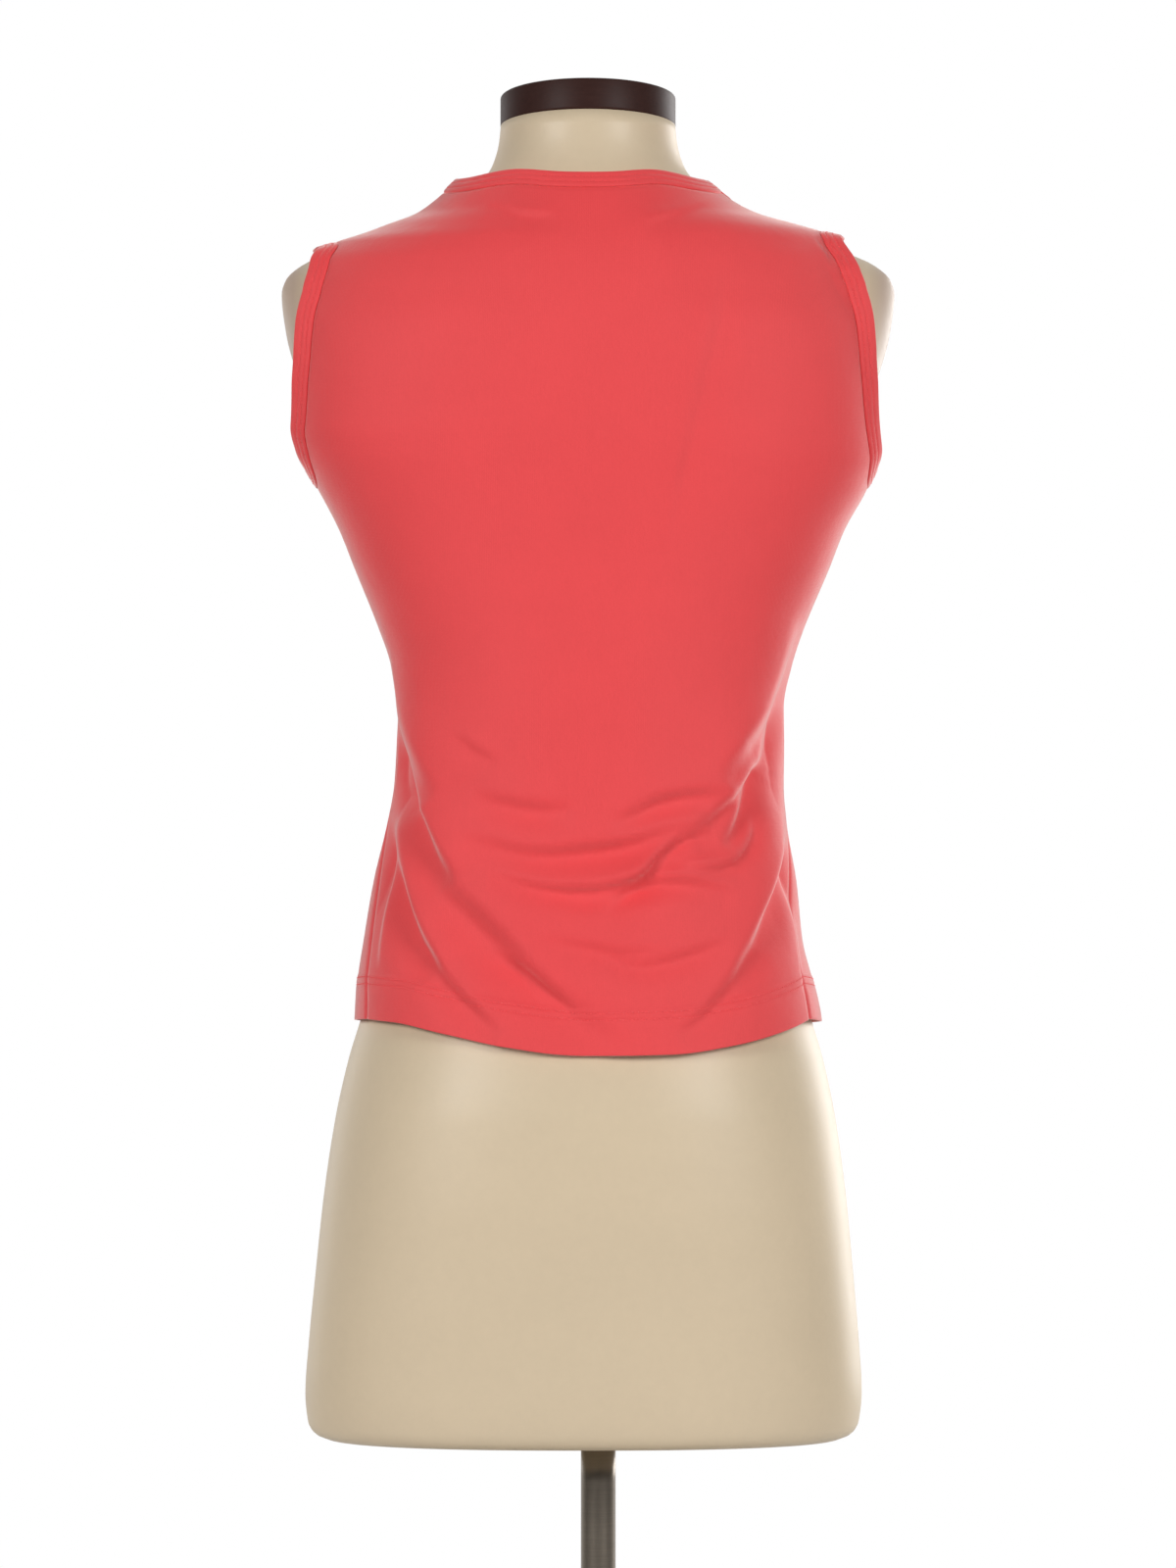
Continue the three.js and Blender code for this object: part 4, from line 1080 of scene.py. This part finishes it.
class CapSettings(bpy.types.PropertyGroup):
    """Sizes and finish of the neck cap."""

    colour: bpy.props.FloatVectorProperty(
        name="Colour", description="Screen colour of the cap", subtype="COLOR_GAMMA", size=3, min=0, max=1,
        default=(0.215, 0.13, 0.115))
    roughness: bpy.props.FloatProperty(
        name="Roughness", description="Roughness of the varnish", subtype="FACTOR", default=0.38, min=0, max=1)
    radius: bpy.props.FloatProperty(
        name="Radius", description="Radius of the cap, in millimetres", default=55.5, min=30, max=80)
    height: bpy.props.FloatProperty(
        name="Height", description="Height of the cap, in millimetres", default=20, min=8, max=40)


class StandSettings(bpy.types.PropertyGroup):
    """Sizes and finish of the stand."""

    colour: bpy.props.FloatVectorProperty(
        name="Colour", description="Screen colour of the steel", subtype="COLOR_GAMMA", size=3, min=0, max=1,
        default=(0.53, 0.495, 0.45))
    roughness: bpy.props.FloatProperty(
        name="Roughness", description="Roughness of the steel", subtype="FACTOR", default=0.2, min=0, max=1)
    pole_radius: bpy.props.FloatProperty(
        name="Pole Radius", description="Radius of the pole, in millimetres", default=11, min=6, max=25)
    base_radius: bpy.props.FloatProperty(
        name="Base Radius", description="Radius of the base, in millimetres", default=203, min=120, max=300)
    base_thickness: bpy.props.FloatProperty(
        name="Base Thickness", description="Thickness of the base, in millimetres", default=6, min=3, max=15)


class StageSettings(bpy.types.PropertyGroup):
    """Camera distance and light of the studio."""

    distance: bpy.props.FloatProperty(
        name="Distance", description="From the pole to the camera", subtype="DISTANCE", unit="LENGTH",
        default=4.0, min=1, max=10)
    eye_height: bpy.props.FloatProperty(
        name="Eye Height", description="Height of the camera", subtype="DISTANCE", unit="LENGTH",
        default=0.722, min=0.1, max=2)
    lens: bpy.props.FloatProperty(
        name="Lens", description="Focal length", subtype="DISTANCE_CAMERA", unit="CAMERA", default=145.16,
        min=20, max=300)
    surroundings: bpy.props.FloatProperty(
        name="Surroundings", description="Strength of the light from the walls beside the camera",
        default=0.1, min=0, max=3)
    glow: bpy.props.FloatProperty(
        name="Glow", description="Strength of the light from the white backdrop behind the form", default=0.8,
        min=0, max=5)
    backdrop: bpy.props.FloatProperty(
        name="Backdrop", description="Brightness of the white that shows behind", default=1.0, min=0, max=3)


# Operators

class TANKTOP_OT_panels(bpy.types.Operator):
    """Build the back and the front panel of the top"""

    bl_idname = "tanktop.panels"
    bl_label = "Panels"

    def execute(self, context):
        look = context.scene.tanktop_cloth
        material = jersey_material(look)
        for half in ("back", "front"):
            outer, inner, flat = panel_wall(half, look)
            points = to_row(np.concatenate((outer, inner)))
            piece = add_piece(f"{half}_panel_cloth", points, wall_faces(*outer.shape[:2]), [f"{half}_panel"],
                              "jersey", material, np.stack((flat, flat)))
        return {"FINISHED"}


class TANKTOP_OT_bindings(bpy.types.Operator):
    """Build the bindings of the neck and the armholes, and all stitches"""

    bl_idname = "tanktop.bindings"
    bl_label = "Bindings and Stitches"

    def execute(self, context):
        look = context.scene.tanktop_cloth
        material = jersey_material(look)
        for name, places, binding in (
            ("neck_binding", NECK_ROWS, neck_binding()),
            ("left_armhole_binding", ARMHOLE_ROWS_OUT, armhole_binding(1)),
            ("right_armhole_binding", ARMHOLE_ROWS_OUT, armhole_binding(-1)),
        ):
            piece = binding.build(name, places, material)
            rows = [(binding.line(place, STITCH_LIFT), binding.leant_normal) for place in places]
            stitches = add_stitches(f"{name}_stitches", rows, look)
        lift = look.wall / 2 + look.hem_extra - HEM_GROOVE[0]
        rows = []
        for above in HEM_ROWS:
            line = level_stretches(lambda half, u: row_above(above, HEM[half](u)))
            points, normals = even_loop(line, HEM_LINE_STEP)
            rows.append((points + normals * lift, normals))
        add_stitches("hem_stitches", rows, look)
        return {"FINISHED"}


class TANKTOP_OT_form(bpy.types.Operator):
    """Build the dress form's torso"""

    bl_idname = "tanktop.form"
    bl_label = "Dress Form"

    def execute(self, context):
        around, rows = 180, 280
        top = FORM_SECTIONS["h"][-1]
        spread = np.linspace(0, 1, rows)
        h = (top * (0.7 * spread + 0.3 * (1 - np.cos(np.pi * spread)) / 2))[:, None]
        angle = np.linspace(0, 2 * np.pi, around, endpoint=False)[None, :]
        depth = np.where(np.cos(angle) > 0, FORM["back"](h), FORM["front"](h))
        x, y = outline(angle, FORM["half"](h), depth, FORM["corner"](h))
        h = np.broadcast_to(h, x.shape).copy()
        x = x + form_shift(h)
        h[-1] += (y[-1] - CAP_SHIFT) * np.tan(CAP_TILT)
        ends = np.array(((form_shift(0.0), 0, 0), (0, CAP_SHIFT, top)))
        points = np.concatenate((np.stack((x, y, h), -1).reshape(-1, 3), ends))
        add_piece("form_torso", to_row(points), lofted_faces(rows, around), ["dress_form"], "form_shell",
                  lacquer_material(context.scene.tanktop_form))
        return {"FINISHED"}


class TANKTOP_OT_cap(bpy.types.Operator):
    """Build the neck cap"""

    bl_idname = "tanktop.cap"
    bl_label = "Neck Cap"

    def execute(self, context):
        look = context.scene.tanktop_cap
        side = rounded(look.radius, 0, look.height, CAP_BEVEL)
        r = np.linspace(0.94, 0.05, 12) * look.radius
        crown = np.stack((r, look.height + CAP_CROWN * (1 - (r / look.radius) ** 2)), -1)
        under = np.array(((look.radius * 0.5, 0),))
        points, faces = turned(np.concatenate((under, side, crown)), 160)
        x, y, z = points.T
        c, s = np.cos(CAP_TILT), np.sin(CAP_TILT)
        tilted = np.stack((x, y * c - z * s, y * s + z * c), -1)
        tilted += (0, CAP_SHIFT, FORM_SECTIONS["h"][-1] + SEAM_GAP)
        add_piece("neck_cap_disc", to_row(tilted), faces, ["neck_cap"], "cap", cap_material(look))
        return {"FINISHED"}


class TANKTOP_OT_stand(bpy.types.Operator):
    """Build the pole and the base"""

    bl_idname = "tanktop.stand"
    bl_label = "Stand"

    def execute(self, context):
        look = context.scene.tanktop_stand
        heights = np.linspace(look.base_thickness + SEAM_GAP, STAND_HEIGHT - SEAM_GAP, 12)
        tube = np.stack((np.full(12, look.pole_radius), heights), -1)
        steel = steel_material("pole_steel", look, (0.05, 0.05, 1.5))
        add_piece("pole_tube", *turned(tube, 64), ["stand_pole"], "steel", steel)
        r = np.linspace(0.97, 0.03, 10) * look.base_radius
        face = np.stack((r, np.full(len(r), look.base_thickness)), -1)
        side = rounded(look.base_radius, 0, look.base_thickness, BASE_BEVEL)
        steel = steel_material("base_steel", look, (1.0, 0.04, 1.0))
        add_piece("base_plate", *turned(np.concatenate((side, face)), 160), ["stand_base"], "steel", steel)
        return {"FINISHED"}


class TANKTOP_OT_stage(bpy.types.Operator):
    """Build the floor, the camera and the soft studio light"""

    bl_idname = "tanktop.stage"
    bl_label = "Stage"

    def execute(self, context):
        look = context.scene.tanktop_stage
        scene = context.scene
        scene.view_settings.view_transform = "Standard"
        self.floor()
        self.world(scene, look)
        for name, place, size, power in LAMPS:
            self.lamp(name, place, size, power)
        camera = bpy.data.cameras.new("photo_camera")
        camera.lens = look.lens
        camera.sensor_width = 36
        seen_from = bpy.data.objects.new("photo_camera", camera)
        seen_from.location = (FORM_OFF_POLE * MM, look.distance, look.eye_height)
        seen_from.rotation_euler = (np.pi / 2, 0, np.pi)
        scene.collection.objects.link(seen_from)
        scene.camera = seen_from
        return {"FINISHED"}

    def floor(self):
        """A pale round floor, small enough to stay below the photo's frame."""
        angle = np.linspace(0, 2 * np.pi, 96, endpoint=False)
        mesh = bpy.data.meshes.new("floor")
        rim = np.stack((np.cos(angle), np.sin(angle), 0 * angle), -1) * FLOOR_RADIUS
        mesh.from_pydata(rim.tolist(), [], [list(range(len(angle)))])
        shader = Shader("floor")
        cloud = shader.noise(shader.place(), 3.0)
        mesh.materials.append(shader.finish({
            "Base Color": shader.blend(cloud, (0.80, 0.80, 0.80, 1), (0.84, 0.84, 0.84, 1)), "Roughness": 0.7}))
        floor = bpy.data.objects.new("floor", mesh)
        bpy.context.scene.collection.objects.link(floor)

    def world(self, scene, look):
        """White all round: a plain backdrop to the camera, and a softer light to everything else."""
        world = bpy.data.worlds.new("studio")
        world.use_nodes = True
        tree = world.node_tree
        background = tree.nodes["Background"]
        background.inputs["Color"].default_value = (1, 1, 1, 1)
        direction = tree.nodes.new("ShaderNodeTexCoord")
        split = tree.nodes.new("ShaderNodeSeparateXYZ")
        tree.links.new(direction.outputs["Generated"], split.inputs["Vector"])
        span = tree.nodes.new("ShaderNodeMapRange")
        span.interpolation_type = "SMOOTHSTEP"
        span.inputs["From Min"].default_value = 0.1
        span.inputs["From Max"].default_value = -0.7
        span.inputs["To Min"].default_value = look.surroundings
        span.inputs["To Max"].default_value = look.glow
        tree.links.new(split.outputs["Y"], span.inputs["Value"])
        ray = tree.nodes.new("ShaderNodeLightPath")
        mix = tree.nodes.new("ShaderNodeMix")
        mix.inputs["B"].default_value = look.backdrop
        tree.links.new(span.outputs["Result"], mix.inputs["A"])
        tree.links.new(ray.outputs["Is Camera Ray"], mix.inputs["Factor"])
        tree.links.new(mix.outputs["Result"], background.inputs["Strength"])
        scene.world = world

    def lamp(self, name, place, size, power):
        """A square area lamp that faces the middle of the form."""
        light = bpy.data.lights.new(name, "AREA")
        light.shape = "SQUARE"
        light.size = size
        light.energy = power
        lamp = bpy.data.objects.new(name, light)
        lamp.location = place
        target = Vector((FORM_OFF_POLE * MM, 0, FORM_MIDDLE))
        lamp.rotation_euler = (target - lamp.location).to_track_quat("-Z", "Y").to_euler()
        bpy.context.scene.collection.objects.link(lamp)


class TANKTOP_PT_sidebar(bpy.types.Panel):
    """The pieces and their settings, in the 3D view's sidebar"""

    bl_idname = "TANKTOP_PT_sidebar"
    bl_label = "Tank Top"
    bl_space_type = "VIEW_3D"
    bl_region_type = "UI"
    bl_category = "Tank Top"

    def draw(self, context):
        for group in GROUPS:
            box = self.layout.box()
            values = getattr(context.scene, group)
            for name in values.__annotations__:
                box.prop(values, name)
        for operator in OPERATORS:
            self.layout.operator(operator.bl_idname)


GROUPS = {
    "tanktop_cloth": ClothSettings,
    "tanktop_form": FormSettings,
    "tanktop_cap": CapSettings,
    "tanktop_stand": StandSettings,
    "tanktop_stage": StageSettings,
}
OPERATORS = (
    TANKTOP_OT_form, TANKTOP_OT_cap, TANKTOP_OT_stand, TANKTOP_OT_panels, TANKTOP_OT_bindings, TANKTOP_OT_stage,
)


def register():
    for group in GROUPS.values():
        bpy.utils.register_class(group)
    for name, group in GROUPS.items():
        setattr(bpy.types.Scene, name, bpy.props.PointerProperty(type=group))
    for operator in OPERATORS:
        bpy.utils.register_class(operator)
    bpy.utils.register_class(TANKTOP_PT_sidebar)


def unregister():
    bpy.utils.unregister_class(TANKTOP_PT_sidebar)
    for operator in reversed(OPERATORS):
        bpy.utils.unregister_class(operator)
    for name in GROUPS:
        delattr(bpy.types.Scene, name)
    for group in GROUPS.values():
        bpy.utils.unregister_class(group)


def main():
    """Builds every piece and the stage."""
    register()
    bpy.ops.tanktop.form()
    bpy.ops.tanktop.cap()
    bpy.ops.tanktop.stand()
    bpy.ops.tanktop.panels()
    bpy.ops.tanktop.bindings()
    bpy.ops.tanktop.stage()
    bpy.context.view_layer.update()


if __name__ == "__main__":
    main()
